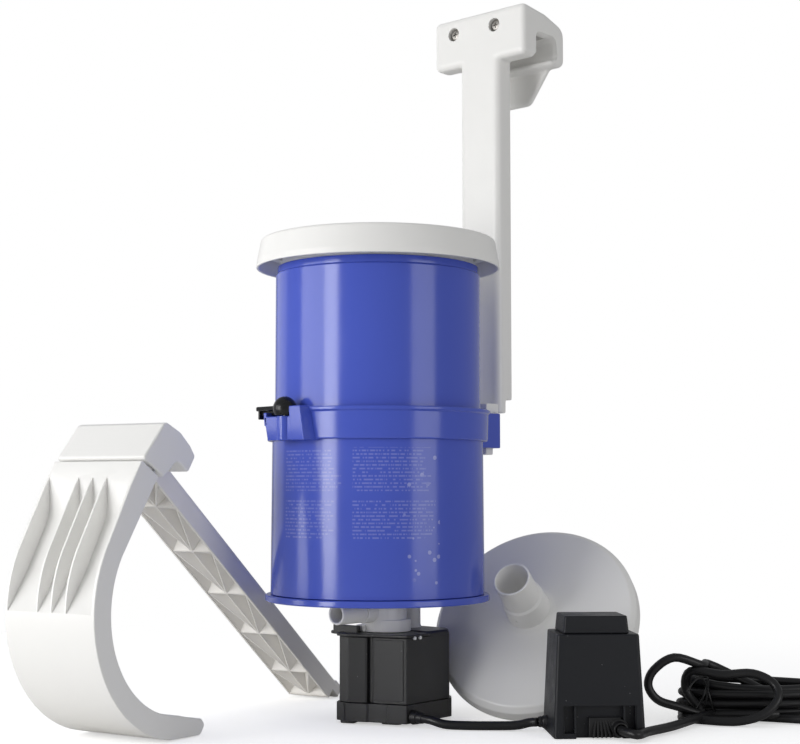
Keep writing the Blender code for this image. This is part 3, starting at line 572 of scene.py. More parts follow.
def collar():
    """The collar, with the hanger's socket behind and the bracket of the latch in front."""
    back = low_high("collar_ring")[1].y
    base = 277.0
    top = 308.0
    lip = 113.0
    side = 110.5
    profile = [(DRUM_BORE, top), (lip, top), (lip, top - 3.2), (side + 0.7, top - 4.8), (side, base)]
    profile.append((DRUM_BORE, base))
    item = turned("drum_collar", profile, rounding=[0.5, 1.2, 0.9, 0.8, 1.6, 0.4])
    piece(item, "skimmer", BLUE, "collar_ring")

    half = 31.0
    outline = fillet([(-half, 92), (half, 92), (half, back), (-half, back)], [0, 0, 5, 5], 6)
    socket = prism("hanger_socket", outline, base - 4, 310, 1.0)
    slot = block("slot", (-24.4, 146.6, 240), (24.4, 161.4, 340))
    cut(socket, slot, rod("bore_tool", DRUM_BORE, 200, 380, steps=TURN_STEPS))
    piece(socket, "skimmer", BLUE)


def leaning_block(name, bottom, top, front, low, high, edge, flare=0.0):
    """A block on the drum whose upright edges lean: bottom and top are its X limits at each end."""
    back = -96
    ends = []
    for left, right in (bottom, top):
        ends.append(fillet([(left, front), (right, front), (right + flare, back), (left, back)], edge, 4))
    return prism(name, ends[0], low, high, edge, top=ends[1])


def latch():
    """The bracket with its barrel, the domed knob and the lever; the latch pin is kept from the frame."""
    base = 276.0
    x, y = -12.7, -118.0
    front = -123.0
    left = leaning_block("latch_left", (-31.5, -14), (-36.8, -14), front, base, 299.0, 1.2)
    wall = leaning_block("latch_wall", (-36.2, -32.0), (-37.4, -33.4), front, 290, 302.8, 0.9)
    barrel = rod("latch_barrel", 7.9, base, 299.2, move(x, y, 0), 0.8)
    cheek = leaning_block("latch_cheek", (2.2, 17.6), (-4.2, 11.8), front, base, 308.6, 1.2, 3.0)
    step = leaning_block("latch_step", (-6, 4), (-8, -1), front + 1.2, base + 0.3, 299.0, 0.8)
    for item in (left, wall, cheek, step):
        cut(item, rod("hollow", DRUM_BORE, 240, 340, steps=TURN_STEPS))
    cut(cheek, rod("seat", 11.4, 299.25, 330, move(x, y, 0), steps=64))
    piece(merge("latch_bracket", [left, wall, barrel, cheek, step]), "skimmer", BLUE)

    dome = [(0, 318.0)]
    for degrees in range(8, 124, 6):
        angle = math.radians(degrees)
        dome.append((11.6 * math.sin(angle), 306.2 + 11.8 * math.cos(angle)))
    dome += [(7.2, 299.7), (0, 299.7)]
    knob = turned("latch_knob", dome, move(x, y, 0), 64)
    heading = move(x, y, 0) @ Matrix.Rotation(math.radians(-9), 4, "Z")
    outline = fillet([(-43, -6.5), (0, -6), (0, 6), (-43, 5)], [5.4, 0, 0, 5.4], 8)
    plate = prism("lever_plate", outline, 305.0, 309.2, 1.2, heading)
    tab = block("lever_tab", (-40.4, -3.6, 297), (-37.6, 3.2, 306.5), 0.8, 1.2, heading)
    rib = block("lever_rib", (-39, -0.9, 300.8), (-6, 0.9, 305), 0.4, 0.4, heading)
    lever = merge("latch_lever_arm", [knob, plate, tab, rib])
    piece(lever, "latch", GLOSS_BLACK, "latch_lever")


def float_ring():
    """The white ring that floats at the drum's mouth, and the foam inside it."""
    low, high = low_high("float_ring")
    skirt = high.x
    crown = 118.2
    sleeve = 96.5
    wall = 2.5
    ring_low = 451.0
    top = high.z
    item = turned(
        "float_collar",
        [
            (sleeve - wall, top - 2.0), (sleeve + 1.0, top), (crown, top), (skirt - 0.6, ring_low + 6),
            (skirt, ring_low), (skirt - wall, ring_low), (crown - wall - 1, top - wall - 1),
            (sleeve, top - wall - 1), (sleeve, low.z), (sleeve - wall, low.z),
        ],
        rounding=[0.8, 1.5, 4.0, 6.0, 0.9, 0.9, 2.0, 1.0, 0.6, 0.6],
        round_steps=6,
    )
    piece(item, "float", WHITE, "float_ring")
    low, high = low_high("float_foam")
    profile = [(112.5, high.z), (113.8, low.z), (sleeve + 7, low.z), (sleeve + 0.6, high.z)]
    piece(turned("float_filling", profile, rounding=1.0), "float", FLEECE, "float_foam")


def slit_tool(name, count, low, high, radius, size):
    """Radial slits as one cutting tool."""
    work = bmesh.new()
    for i in range(count):
        cube = bmesh.ops.create_cube(work, size=1.0)["verts"]
        bmesh.ops.scale(work, vec=Vector((size[0], size[1], high - low)) * MM, verts=cube)
        turn = Matrix.Rotation(2 * math.pi * (i + 0.5) / count, 4, "Z")
        shift = Matrix.Translation(Vector((radius, 0, (low + high) / 2)) * MM)
        bmesh.ops.transform(work, matrix=turn @ shift, verts=cube)
    return finish_mesh(name, work)


def basket():
    """The leaf basket: a slotted cup with a slotted floor and a bar to lift it by."""
    low, high = low_high("leaf_basket")
    top, floor = high.z, low.z
    profile = [(91, top), (91, top - 3), (88, top - 4), (85, floor), (6, floor), (6, floor + 2)]
    profile += [(83, floor + 2), (86, top)]
    cup = turned("basket_cup", profile, rounding=0.7, steps=144)
    cut(cup, slit_tool("wall_slits", 36, floor + 8, floor + 36, 87, (14, 4.0)))
    cut(cup, slit_tool("upper_slits", 36, floor + 42, top - 9, 87, (14, 4.0)))
    cut(cup, slit_tool("floor_slits", 24, floor - 5, floor + 10, 52, (44, 3.4)))
    bar = block("basket_bar_shape", (-87, -4, top - 7), (87, 4, top - 1), 1.4, 1.4)
    piece(merge("basket", [cup, bar]), "basket", WHITE, "leaf_basket")


def cartridge():
    """The pleated cartridge on its core, between two caps."""
    low, high = low_high("cartridge_bottom_cap")
    radius = high.x
    profile = [(radius, high.z), (radius, low.z), (12, low.z), (12, high.z)]
    item = turned("cartridge_foot", profile, rounding=1.2, steps=96)
    piece(item, "cartridge", BLUE, "cartridge_bottom_cap")
    low, high = low_high("cartridge_top_cap")
    profile = [(0, high.z), (20, high.z), (24, high.z - 1.2), (radius, high.z), (radius, low.z), (0, low.z)]
    item = turned("cartridge_lid", profile, rounding=1.0, steps=96)
    piece(item, "cartridge", BLUE, "cartridge_top_cap")
    low, high = low_high("cartridge_pleats")
    pleats = 48
    outer, inner = radius - 3, radius - 20
    points = []
    for i in range(2 * pleats):
        reach = outer if i % 2 == 0 else inner
        angle = math.pi * i / pleats
        points.append((reach * math.cos(angle), reach * math.sin(angle)))
    item = prism("cartridge_folds", fillet(points, 1.0, 3), low.z, high.z)
    cut(item, rod("core_room", 22.9, low.z - 5, high.z + 5))
    piece(item, "cartridge", FLEECE, "cartridge_pleats", angle=math.radians(60))
    low, high = low_high("cartridge_core")
    profile = [(22, high.z), (22, low.z), (20, low.z), (20, high.z)]
    piece(turned("cartridge_tube", profile, rounding=0.5, steps=64), "cartridge", WHITE, "cartridge_core")


# --- Arms and hanger ---

ARM_HALF = 27.0
ARM_DEPTH = 24.0
ARM_INSIDE = ARM_HALF - 2.6
ARM_FOOT = 17.4
RIB_PITCH = 71.5
RIB = 0.7
PIT_RIM = 22.6
PIT_FLOOR = 11.0


def triangle_pit(work, corners, apex_share, matrix):
    """One three-sided pit of a ribbed back, as a closed cutter. Corners are places on the back's plane."""
    corners = [Vector(corner) for corner in corners]
    shrunk = []
    for i, here in enumerate(corners):
        first = (corners[i - 1] - here).normalized()
        second = (corners[(i + 1) % 3] - here).normalized()
        bisector = (first + second).normalized()
        shrunk.append(here + bisector * RIB / math.sin(first.angle(second) / 2))
    apex = sum((corner * share for corner, share in zip(shrunk, apex_share)), Vector((0, 0)))
    top = [work.verts.new(matrix @ Vector((p.x, ARM_DEPTH + 6, p.y)) * MM) for p in shrunk]
    ring = [work.verts.new(matrix @ Vector((p.x, PIT_RIM, p.y)) * MM) for p in shrunk]
    tip = work.verts.new(matrix @ Vector((apex.x, PIT_FLOOR, apex.y)) * MM)
    work.faces.new(top)
    for i in range(3):
        after = (i + 1) % 3
        work.faces.new((top[i], ring[i], ring[after], top[after]))
        work.faces.new((ring[i], tip, ring[after]))


def rib_cutter(name, high, matrix):
    """The pits of a ribbed back up to a height: facets that meet in stars on the middle rib."""
    work = bmesh.new()
    stations = [ARM_FOOT, ARM_FOOT + 45.0]
    while stations[-1] + RIB_PITCH < high:
        stations.append(stations[-1] + RIB_PITCH)
    if high - stations[-1] > 15:
        stations.append(high)
    for start, end in zip(stations, stations[1:]):
        for side in (-1, 1):
            centre_low, centre_high = (0, start), (0, end)
            wall_low, wall_high = (side * ARM_INSIDE, start), (side * ARM_INSIDE, end)
            triangle_pit(work, (centre_low, centre_high, wall_high), (0.30, 0.42, 0.28), matrix)
            triangle_pit(work, (centre_low, wall_high, wall_low), (0.36, 0.16, 0.48), matrix)
    bmesh.ops.recalc_face_normals(work, faces=work.faces)
    return finish_mesh(name, work)


def arm_shell(name, length, matrix):
    """The arm's outer shape: X across, Y from front to back, Z towards its head."""
    outline = fillet(rectangle(-ARM_HALF, 0, ARM_HALF, ARM_DEPTH), [7.5, 7.5, 1.0, 1.0], 7)
    shell = prism(name, outline, 0, length, 1.2, matrix)
    wide = ARM_HALF + 3
    return cut(shell, block(name + "_heel", (-wide, 12.8, -6), (wide, ARM_DEPTH + 6, 14.6), matrix=matrix))


def tongue_shape(name, drop, front, matrix):
    """The blade under an arm that drops into the socket. Front is how far it stands before the arm."""
    upper = rectangle(-24, -front, 24, 14 - front, 1.6, 4)
    lower = rectangle(-22.6, 0.8 - front, 22.6, 13 - front, 1.6, 4)
    blade = prism(name, lower, -drop, 6, 1.0, matrix, top=upper)
    step = block(name + "_step", (-24, -front, 0), (24, 6, 10), 1.2, 1.6, matrix)
    return merge(name, [blade, step])


def open_back(shell, length, back, pits_high, matrix):
    """Cut the channel and the ribbed pits into an arm's back, from its foot up."""
    cut(shell, block("channel", (-ARM_INSIDE, 22.9, ARM_FOOT), (ARM_INSIDE, back, length), matrix=matrix))
    cut(shell, rib_cutter("pits", pits_high, matrix))


SCREW_PLACES = (-35.0, 22.0)
SCREW_HEIGHT = 738.5
HANGER_FRONT = 165.0
HANGER_BACK = 189.0
HANGER_FOOT = 311.0
HEAD_LOW = 700.0
HEAD_HALF = 63.0


def hanger():
    """The wall hanger: its arm with a ribbed back and its wide hooked head."""
    high = low_high("hanger")[1]
    place = move(0, HANGER_FRONT, HANGER_FOOT)
    shell = arm_shell("hanger_shape", HEAD_LOW + 14 - HANGER_FOOT, place)
    outline = [
        (HANGER_FRONT, HEAD_LOW), (HANGER_BACK, HEAD_LOW), (HANGER_BACK, 728.0), (224.0, 728.0),
        (226.5, 705.0), (217.5, 703.5), (217.0, HEAD_LOW - 1), (224.0, HEAD_LOW - 2.5),
        (high.y, HEAD_LOW - 2), (high.y, high.z - 15), (HANGER_FRONT + 42, high.z - 4.5),
        (HANGER_FRONT, high.z),
    ]
    outline = fillet(outline, [6, 4, 5, 7, 4, 1, 1, 2, 8, 14, 18, 6], 6)
    head = prism("head_shape", outline, -HEAD_HALF, HEAD_HALF, 5.5, upright_frame((0, 0, 0), UP), steps=5)
    guide_outline = fillet([(-51, HEAD_LOW + 4), (-20, 661), (20, 661), (51, HEAD_LOW + 4)], [0, 9, 9, 0], 6)
    guide = prism("guide_shape", guide_outline, -3.2, 3.2, 1.6, upright_frame((0, 234.5, 0), 0))
    join(shell, head, guide)
    melt(shell, 1.1, 14)
    cut(shell, block("cavity", (-53, HANGER_BACK - 3, 716), (53, 216, 744), 2.5, 2.5))
    for x in SCREW_PLACES:
        bore = axis_frame((x, HANGER_FRONT, SCREW_HEIGHT), (0, 1, 0))
        cut(shell, rod("recess", 7.5, -4, 16.4, bore, 0.2), rod("screw_hole", 3.4, 10, 32, bore, 0.1))
    length = HEAD_LOW - HANGER_FOOT
    open_back(shell, length - 6, 230 - HANGER_FRONT, length - 9, place)
    slim = shell.modifiers.new("slim", "DECIMATE")
    slim.ratio = 0.35
    bake(shell)
    piece(shell, "wall_hanger", WHITE, "hanger")
    piece(tongue_shape("hanger_tongue_shape", HANGER_FOOT - 266.0, 18, place), "wall_hanger", WHITE)


def clamp():
    """The pad in the head's slot and the two screws that press it."""
    low, high = low_high("clamp_pad")
    piece(block("clamp_plate", low, high, 1.2, 1.2), "clamp", WHITE, "clamp_pad")
    cross = [(-0.75, -4), (0.75, -4), (0.75, -0.75), (4, -0.75), (4, 0.75), (0.75, 0.75)]
    cross += [(-x, -y) for x, y in cross]
    cross_foot = [(0.55 * x, 0.55 * y) for x, y in cross]
    for x, side in zip(SCREW_PLACES, ("left", "right")):
        bore = axis_frame((x, HANGER_FRONT, SCREW_HEIGHT), (0, 1, 0))
        head = turned("screw_head", [(0, 7.2), (6.5, 7.2), (6.5, 4.6), (4.6, 3.1), (0, 2.6)], bore, 48, 0.4)
        cut(head, prism("cross", cross, 1.0, 5.2, 0, bore, top=cross_foot))
        shank = thread("shank", 3.0, 6.8, 24.4, 1.25, bore)
        node = "clamp_screw_" + side
        piece(merge(node + "_steel", [head, shank]), side + "_screw", STEEL, node)


def thread(name, radius, low, high, pitch, matrix):
    """A screw's shank with its thread."""
    sides = 24
    levels = int((high - low) / pitch) * 4
    rings = []
    for i in range(levels + 1):
        height = low + (high - low) * i / levels
        ring = []
        for k in range(sides):
            angle = 2 * math.pi * k / sides
            phase = (height / pitch - k / sides) % 1.0
            reach = radius - 0.55 * abs(2 * phase - 1)
            ring.append((reach * math.cos(angle), reach * math.sin(angle), height))
        rings.append(ring)
    return skin(name, rings, matrix)


# --- Bracket for inflated rings ---

BRACKET_PLACE = Vector((-59.3, -209.2, 0.4))
BRACKET_HEADING = math.radians(99.8)
BRACKET_WIDTH = 107.0
CURL_CENTRE = Vector((10.0, 120.6))
CURL_OUTER = 120.5
CURL_INNER = 98.5
ARM_SLOPE = math.radians(-38.9)


def arc(centre, radius, start, end, steps=60):
    """Points on a circle between two angles in degrees."""
    angles = [math.radians(start + (end - start) * i / steps) for i in range(steps + 1)]
    return [Vector((centre[0] + radius * math.cos(a), centre[1] + radius * math.sin(a))) for a in angles]


def ring_bracket():
    """The curled plate with its fins, and the head with its ribbed arm."""
    stand = upright_frame(BRACKET_PLACE, BRACKET_HEADING)
    outer = arc(CURL_CENTRE, CURL_OUTER, 149, 262)
    inner = arc(CURL_CENTRE, CURL_INNER, 266, 149)
    toe = fillet([outer[-1], (36, 0.4), (42, 9), (37, 15.5), (27, 16.5), inner[0]], [0, 6, 4, 5, 14, 0], 5)
    neck = [(-33, 234), (-27.6, 240.6), (-51.3, 255.6), (-66, 232)]
    top = fillet([inner[-1]] + neck + [outer[0]], [0, 3, 1.5, 2.0, 10, 0], 5)
    outline = top[1:-1] + outer + toe[1:-1] + inner
    plate = prism("curl_shape", outline, -BRACKET_WIDTH, 0, 1.0, stand)
    scoop = [(-60.6, 240.8), (-60, 205), (-86, 157), (-109.6, 121.5), (-140, 121.5), (-140, 240.8)]
    scoop = fillet(scoop, [0, 34, 90, 0, 0, 0], 10)
    flange, rib = 3.2, 1.8
    stations = [0, 34, 51, 68, BRACKET_WIDTH]
    for start, end in zip(stations, stations[1:]):
        near = start + (flange if start == 0 else rib / 2)
        far = end - (flange if end == BRACKET_WIDTH else rib / 2)
        cut(plate, prism("scoop", scoop, -far, -near, 0, stand))
    rail = [(-44, 243), (-37, 239), (-30, 249), (-37, 253)]
    rail = prism("rail_shape", fillet(rail, 1.0, 3), -BRACKET_WIDTH + 4, -4.5, 0.6, stand)
    piece(merge("ring_curl", [plate, rail]), "ring_plate", WHITE, "ring_bracket_plate")

    head = [
        (-49.5, 257.5), (-22, 289), (-17, 291), (3, 282), (17, 270), (24.5, 260), (14, 244.5), (9, 248),
        (-2, 256), (-13, 246), (-21, 240.5),
    ]
    head = fillet(head, [3.0, 5, 6, 14, 10, 3.5, 3, 3, 7, 3, 3], 6)
    block_shape = prism("head_shape", head, -BRACKET_WIDTH, 0, 2.0, stand, steps=4)
    groove = [(-46, 240.5), (-36, 235.5), (-28.6, 249.5), (-37.5, 254.9)]
    cut(block_shape, prism("rail_groove", groove, -BRACKET_WIDTH - 5, -2.2, 0, stand))
    length = 374.0
    side = move(33.0, 246.0, -33.0 - ARM_HALF)
    turn = Matrix(((0, 0, -1, 0), (0, -1, 0, 0), (-1, 0, 0, 0), (0, 0, 0, 1)))
    place = stand @ side @ Matrix.Rotation(ARM_SLOPE, 4, "Z") @ move(length, 0, 0) @ turn
    shell = arm_shell("ring_arm_shape", length + 22, place)
    open_back(shell, length + 40, 40, length + 10, place)
    piece(block_shape, "ring_hanger", WHITE, "ring_bracket_arm")
    # The ribbed arm and its tongue take the shaded copy of the white plastic: painted shade.
    piece(shell, "ring_hanger", SHADED_WHITE)
    piece(tongue_shape("ring_tongue_shape", 6, 1.5, place), "ring_hanger", SHADED_WHITE)


# --- Pump ---

COVER_LOW = 3.0
COVER_HIGH = 21.0
HOUSING_HIGH = 84.6
FLANGE_LOW = 85.0
FLANGE_HIGH = 88.0
OUTLET_HEIGHT = 108.6
ROTOR_Y = 10.0
PANEL_FRAME = move(-19, -36, 0) @ Matrix.Rotation(math.atan2(26.5, 66.0), 4, "Z")


def pump():
    """The submersible pump: motor housing, base cover, flange and feet."""
    outline = [
        (-38, -5), (-22, -32), (-9, -33.5), (7.9, -25.2), (7.9, -19.8), (11.1, -18.5), (14.4, -22.6),
        (47, -9.5), (45.5, 57), (33, 71.8), (-33, 71.8), (-38, 67),
    ]
    radii = [6, 3, 5, 2.2, 1.4, 1.2, 1.0, 0.9, 4, 4, 4, 4]
    body = prism("pump_body_shape", fillet(outline, radii, 4), COVER_HIGH + 0.2, HOUSING_HIGH, 0.5)
    low, high = (37.5, -0.8, COVER_HIGH + 3), (67.5, 4, HOUSING_HIGH - 2)
    panel = block("pump_panel", low, high, 0.4, 0.5, PANEL_FRAME)
    low, high = (68.6, -0.2, COVER_HIGH + 1), (70.6, 3, HOUSING_HIGH - 1)
    edge = block("pump_panel_edge", low, high, 0.3, 0.3, PANEL_FRAME)
    outline = [(-37.5, 24), (45.9, 24), (45.2, 57), (32.8, 71.5), (-32.8, 71.5), (-37.5, 66.8)]
    shoulder = prism("pump_shoulder", fillet(outline, 4.0, 4), 70, 89.2, 3.5)
    item = merge("pump_motor_body", [body, panel, edge, shoulder])
    piece(item, "skimmer", PUMP_BLACK, "pump_housing")

    outline = [
        (-40, -5), (-24, -34), (-9, -35.5), (10, -27.4), (11.5, -25.6), (29, -18.6), (30.5, -19.6),
        (48.5, -12), (47.5, 58), (34.5, 73.5), (-34.5, 73.5), (-40, 68),
    ]
    radii = [6, 3, 5, 0.8, 0.8, 0.8, 0.8, 1.2, 4, 4, 4, 4]
    skirt = prism("pump_cover_shape", fillet(outline, radii, 4), COVER_LOW, COVER_HIGH, 0.7)
    ribs = []
    for x in (5.0, 29.0, 51.0):
        low, high = (x, -2.6, COVER_LOW + 1), (x + 2.4, 3, COVER_HIGH - 0.6)
        ribs.append(block("cover_rib", low, high, 0.5, 0.6, PANEL_FRAME))
    chin = block("cover_chin", (1.0, 0.5, 0.6), (16.0, 14, COVER_LOW + 2), 0.6, 2.5, PANEL_FRAME)
    brow = block("cover_brow", (44.0, 0.5, 1.4), (60.0, 12, COVER_LOW + 2), 0.6, 2.5, PANEL_FRAME)
    boss = rod("cover_boss", 8, 0.3, COVER_LOW + 1)
    item = merge("pump_cover", [skirt, chin, brow, boss] + ribs)
    piece(item, "skimmer", PUMP_BLACK, "pump_base_cover")

    outline = [(-40, -5), (-24, -34), (-9, -35.5), (9, -27), (48, -11), (48, 22), (30, 62), (-30, 62)]
    outline = fillet(outline + [(-40, 50)], [6, 3, 5, 8, 1.5, 3, 3, 3, 3], 4)
    plate = prism("flange_plate", outline, FLANGE_LOW, FLANGE_HIGH, 0.8)
    tab = block("flange_tab", (-41, -21.5, FLANGE_LOW), (-8, -16, 94.5), 0.8, 1.0)
    ear = block("flange_ear", (-47, -20.5, FLANGE_LOW), (-30, -8, FLANGE_HIGH), 0.9, 4.5)
    piece(merge("pump_flange_plate", [plate, tab, ear]), "skimmer", PUMP_BLACK, "pump_flange")
    lugs = []
    for y in (1, 9):
        out = axis_frame((47.6, y, HOUSING_HIGH), (1, 0, 0))
        lugs.append(rod("flange_lug", 1.7, -0.6, 1.4, out, 0.2, steps=20))
    piece(merge("flange_eyelets", lugs), "skimmer", WHITE)

    for i in range(1, 5):
        node = "pump_foot_%d" % i
        low, high = low_high(node)
        profile = [(0, high.z), (5.0, high.z), (5.5, low.z), (0, low.z)]
        place = move((low.x + high.x) / 2, (low.y + high.y) / 2, 0)
        piece(turned(node + "_rubber", profile, place, 32, 0.6), "skimmer", RUBBER, node)


def pump_outlet():
    """The white parts over the pump: volute, outlet nozzle and post."""
    low, high = low_high("pump_volute")
    outlet = axis_frame((0, ROTOR_Y, OUTLET_HEIGHT), (0, -1, 0))
    profile = [(22.5, high.z), (22.5, low.z), (18.5, low.z), (18.5, 114), (9, 114), (9, high.z)]
    shell = turned("volute_shape", profile, move(0, ROTOR_Y, 0), 96, 0.9)
    profile = [(23.0, 100.5), (23.0, low.z), (19.0, low.z), (19.0, 100.5)]
    foot = turned("volute_foot", profile, move(3, 12, 0), 96, 0.9)
    boss = rod("volute_boss", 10.9, 5, 34.3, outlet, 1.0)
    for item in (boss, shell):
        cut(item, rod("port", 8, 0, 60, outlet, 0.1))
    cheek = block("volute_cheek", (-17, -14, low.z), (-5, 0, 95), 0.8, 2.0)
    piece(merge("pump_volute_body", [shell, foot, boss, cheek]), "skimmer", WHITE, "pump_volute")
    low, high = low_high("outlet_nozzle")
    reach = high.y - low.y
    mouth = axis_frame((0, high.y, OUTLET_HEIGHT), (0, -1, 0))
    item = turned("nozzle_tube", [(10.2, reach), (10.2, 0), (8, 0), (8, reach)], mouth, 64, 0.9)
    piece(item, "skimmer", WHITE, "outlet_nozzle")
    low, high = low_high("support_post")
    profile = [(0, high.z), (8.8, high.z), (9.0, low.z + 4), (10.2, low.z), (0, low.z)]
    piece(turned("pump_post", profile, move(0, 52, 0), 64, 0.8), "skimmer", WHITE, "support_post")


# Pieces kept from the frame: material and the width of their rounded edges
KEPT = {
    "rotor_shaft": (STEEL, 0.3),
    "rotor_magnet": (LAMINATE, 0.6),
    "impeller": (GLOSS_BLACK, 0.3),
    "front_bush": (RUBBER, 0.4),
    "rear_bush": (RUBBER, 0.4),
    "stator_core": (LAMINATE, 0.5),
    "stator_coil": (COPPER, 0.0),
    "transformer_core": (LAMINATE, 0.5),
    "transformer_winding": (COPPER, 2.5),
    "transformer_floor": (CASE_BLACK, 0.8),
    "latch_pin": (STEEL, 0.2),
    "plug_pin_1": (STEEL, 0.6),
    "plug_pin_2": (STEEL, 0.6),
}


def kept_pieces():
    """Give the pieces kept from the frame their materials and rounded edges."""
    for node, (material, width) in KEPT.items():
        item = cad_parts[node]
        item.data.materials.clear()
        item.data.materials.append(material)
        if width:
            edges = item.modifiers.new("edges", "BEVEL")
            edges.width = width * MM
            edges.segments = 3
            edges.limit_method = "ANGLE"
            edges.angle_limit = math.radians(35)
            item.modifiers.new("weigh", "WEIGHTED_NORMAL").keep_sharp = True


# --- Suction plate ---


def suction_plate():
    """The cone-shaped plate and its hose spigot."""
    place = axis_frame((89.6, 147.6, 87.8), (0.221, -0.784, 0.579))
    radius, rim, wall = 107.0, 20.0, 2.5
    neck, cone = 24.0, 34.0
    inner = radius - wall
    item = turned(
        "suction_plate_shell",
        [
            (neck - 1.0, cone + 1.0), (neck + 4, cone - 0.6), (radius - 5, rim + 0.6), (radius, rim - 5),
            (radius, 0), (inner, 0), (inner, rim - 5), (radius - 6, rim - wall - 0.5),
            (neck - 2, cone - wall), (18, cone - wall), (18, cone + 1.0),
        ],
        place,
        rounding=[0.5, 4, 5, 3, 0.8, 0.8, 2, 4, 1, 0.4, 0.4],
        round_steps=6,
    )
    piece(item, "vacuum_head", WHITE, "vacuum_plate")
    profile = [(18.9, 92), (19.1, 59.5), (21.6, 57.5), (22.7, cone + 0.6), (17, cone + 0.6), (16.6, 92)]
    item = turned("suction_spigot", profile, place, 96, [0.8, 1.6, 1.6, 0.3, 0.3, 0.8])
    vent = axis_frame(place @ Vector((0, 0, 46)), place.to_3x3() @ Vector((-0.2, -1, 0)))
    cut(item, rod("vent", 1.1, 18, 30, vent, 0.1, steps=16))
    piece(item, "vacuum_head", WHITE, "vacuum_spigot")


# --- Transformer ---

CASE_FRAME = move(203.0, 79.0, 0.3) @ Matrix.Rotation(math.radians(45.0), 4, "Z")
CASE_HEIGHT = 95.0


def transformer():
    """The tapered case with its recess and fins, and the cap on top."""
    lower = rectangle(-43, -33.5, 43, 33.5, 3.0, 5)
    upper = rectangle(-38.5, -30, 38.5, 30, 3.0, 5)
    case = prism("case_shape", lower, 0, CASE_HEIGHT, 1.4, CASE_FRAME, top=upper)
    cut(case, block("bay", (-34.5, -60, -6), (34.5, -25.5, 30), 0.5, 0.8, CASE_FRAME))
    side = CASE_FRAME @ upright_frame((0, 0, 0), UP)
    fins = []
    for x, height in ((-23.5, 34), (22.5, 37), (-34.6, 31), (33.6, 34)):
        outline = fillet([(-32.6, 0.6), (-24, 0.6), (-24, height), (-30.5, height)], [1, 0, 0, 1], 3)
        fins.append(prism("case_fin", outline, x, x + 1.8, 0.5, side))
    for x_low, x_high in ((-34.6, -22), (21, 34.6)):
        fins.append(block("case_lip", (x_low, -33.4, 0.1), (x_high, -24, 5.0), 0.6, 0.8, CASE_FRAME))
    piece(merge("transformer_shell", [case] + fins), "skimmer", CASE_BLACK, "transformer_case")
    lower = rectangle(-32, -25, 30, 25, 2.2, 5)
    upper = rectangle(-30.5, -23.5, 28.5, 23.5, 2.2, 5)
    item = prism("transformer_lid", lower, CASE_HEIGHT + 0.2, CASE_HEIGHT + 16.5, 1.2, CASE_FRAME, top=upper)
    piece(item, "skimmer", CASE_BLACK, "transformer_cap")


def strain_reliefs():
    """The ribbed rubber fan where the mains cable leaves the case, and the boot of the pump's cable."""
    fan = []
    for i in range(7):
        share = i / 6
        top_x, foot_x = -4 + 15 * share, -7 + 25 * share
        outline = [(-36.5, 1.2), (-26, 1.2), (-26, 17), (-31, 17)]
        lean = Matrix(((1, 0, (top_x - foot_x) / 16, 0), (0, 1, 0, 0), (0, 0, 1, 0), (0, 0, 0, 1)))
        side = CASE_FRAME @ move(foot_x, 0, 0) @ lean @ upright_frame((0, 0, 0), UP)
        fan.append(prism("fan_rib", fillet(outline, 0.8, 3), -0.8, 0.8, 0.3, side))
    relief = CASE_FRAME @ axis_frame((18, -27.5, 9), (0, -1, 0))
    profile = [(5.0, -0.5), (9.5, -0.5), (8.6, 4), (7.0, 5), (7.0, 7), (7.6, 8), (6.6, 13.5), (5.0, 14)]
    boot = turned("boot", profile, relief, 48, 0.6)
    back = block("fan_back", (-10, -31, 1.0), (20, -25, 19), 0.6, 1.0, CASE_FRAME)
    piece(merge("mains_relief", [boot, back] + fan), "skimmer", RUBBER, "mains_strain_relief")

    relief = CASE_FRAME @ axis_frame((-42.2, 14, 9), (-1, 0, 0))
    profile = [(0, 8), (4.8, 8.2), (5.4, 5.4), (5.0, 4.6), (5.9, 3.6), (7.2, 0), (0, 0)]
    piece(turned("supply_relief", profile, relief, 48, 0.5), "skimmer", RUBBER, "supply_strain_relief")


# --- Cables ---

CABLE_RADIUS = 4.3
TIE_RADIUS = 0.9
COIL_CENTRE = Vector((310.0, 230.0, 0.0))
COIL_ALONG = Vector((math.cos(math.radians(41.0)), math.sin(math.radians(41.0)), 0))
COIL_ACROSS = Vector((-COIL_ALONG.y, COIL_ALONG.x, 0))
COIL_MIDDLE = 52
PLAIN_TURNS = 7
COIL_POINTS = 10
PLUG_REACH = 51.7

# The pump's cable, from its gland to the transformer
PUMP_LEAD = [(56, -2, 9), (70, -1.5, 8.4), (84, 3, 5.2), (100, 13, 4.6), (122, 30, 4.6), (140, 42, 5.5)]
PUMP_LEAD += [(150, 49.5, 8.2), (157, 52, 9.1)]
# The mains cable in the case's directions, then in the coil's: to the coil, then round its loose loops
LEAD_START = [(18, -30, 9), (18, -38, 9), (20, -46, 8.5), (30, -55, 7)]
LEAD_IN = [(-132, -70, 6), (-104, -38, 6), (-76, 0, 7), (-48, 36, 8), (-20, 58, 5)]
LOOSE_LOOPS = [(-46, 40, 52), (-64, 24, 56), (-92, 18, 64), (-112, 18, 52), (-118, 18, 37), (-109, 18, 23)]
LOOSE_LOOPS += [(-89, 20, 16), (-64, 26, 9), (-78, 34, 30), (-75, 24, 50), (-46, 14, 48), (-16, 14, 49)]
LOOSE_LOOPS += [(3, 8, 40), (5, 0, 26), (-10, -4, 12), (-34, -2, 5), (-62, 4, 5), (-84, 22, 5), (-70, 40, 5)]
LOOSE_LOOPS += [(-20, 30, 5), (40, 6, 5), (84, -30, 6)]
TIE_TAIL = [(-60, 24, 36), (-66, 18, 44), (-74, 16, 40), (-80, 14, 31)]


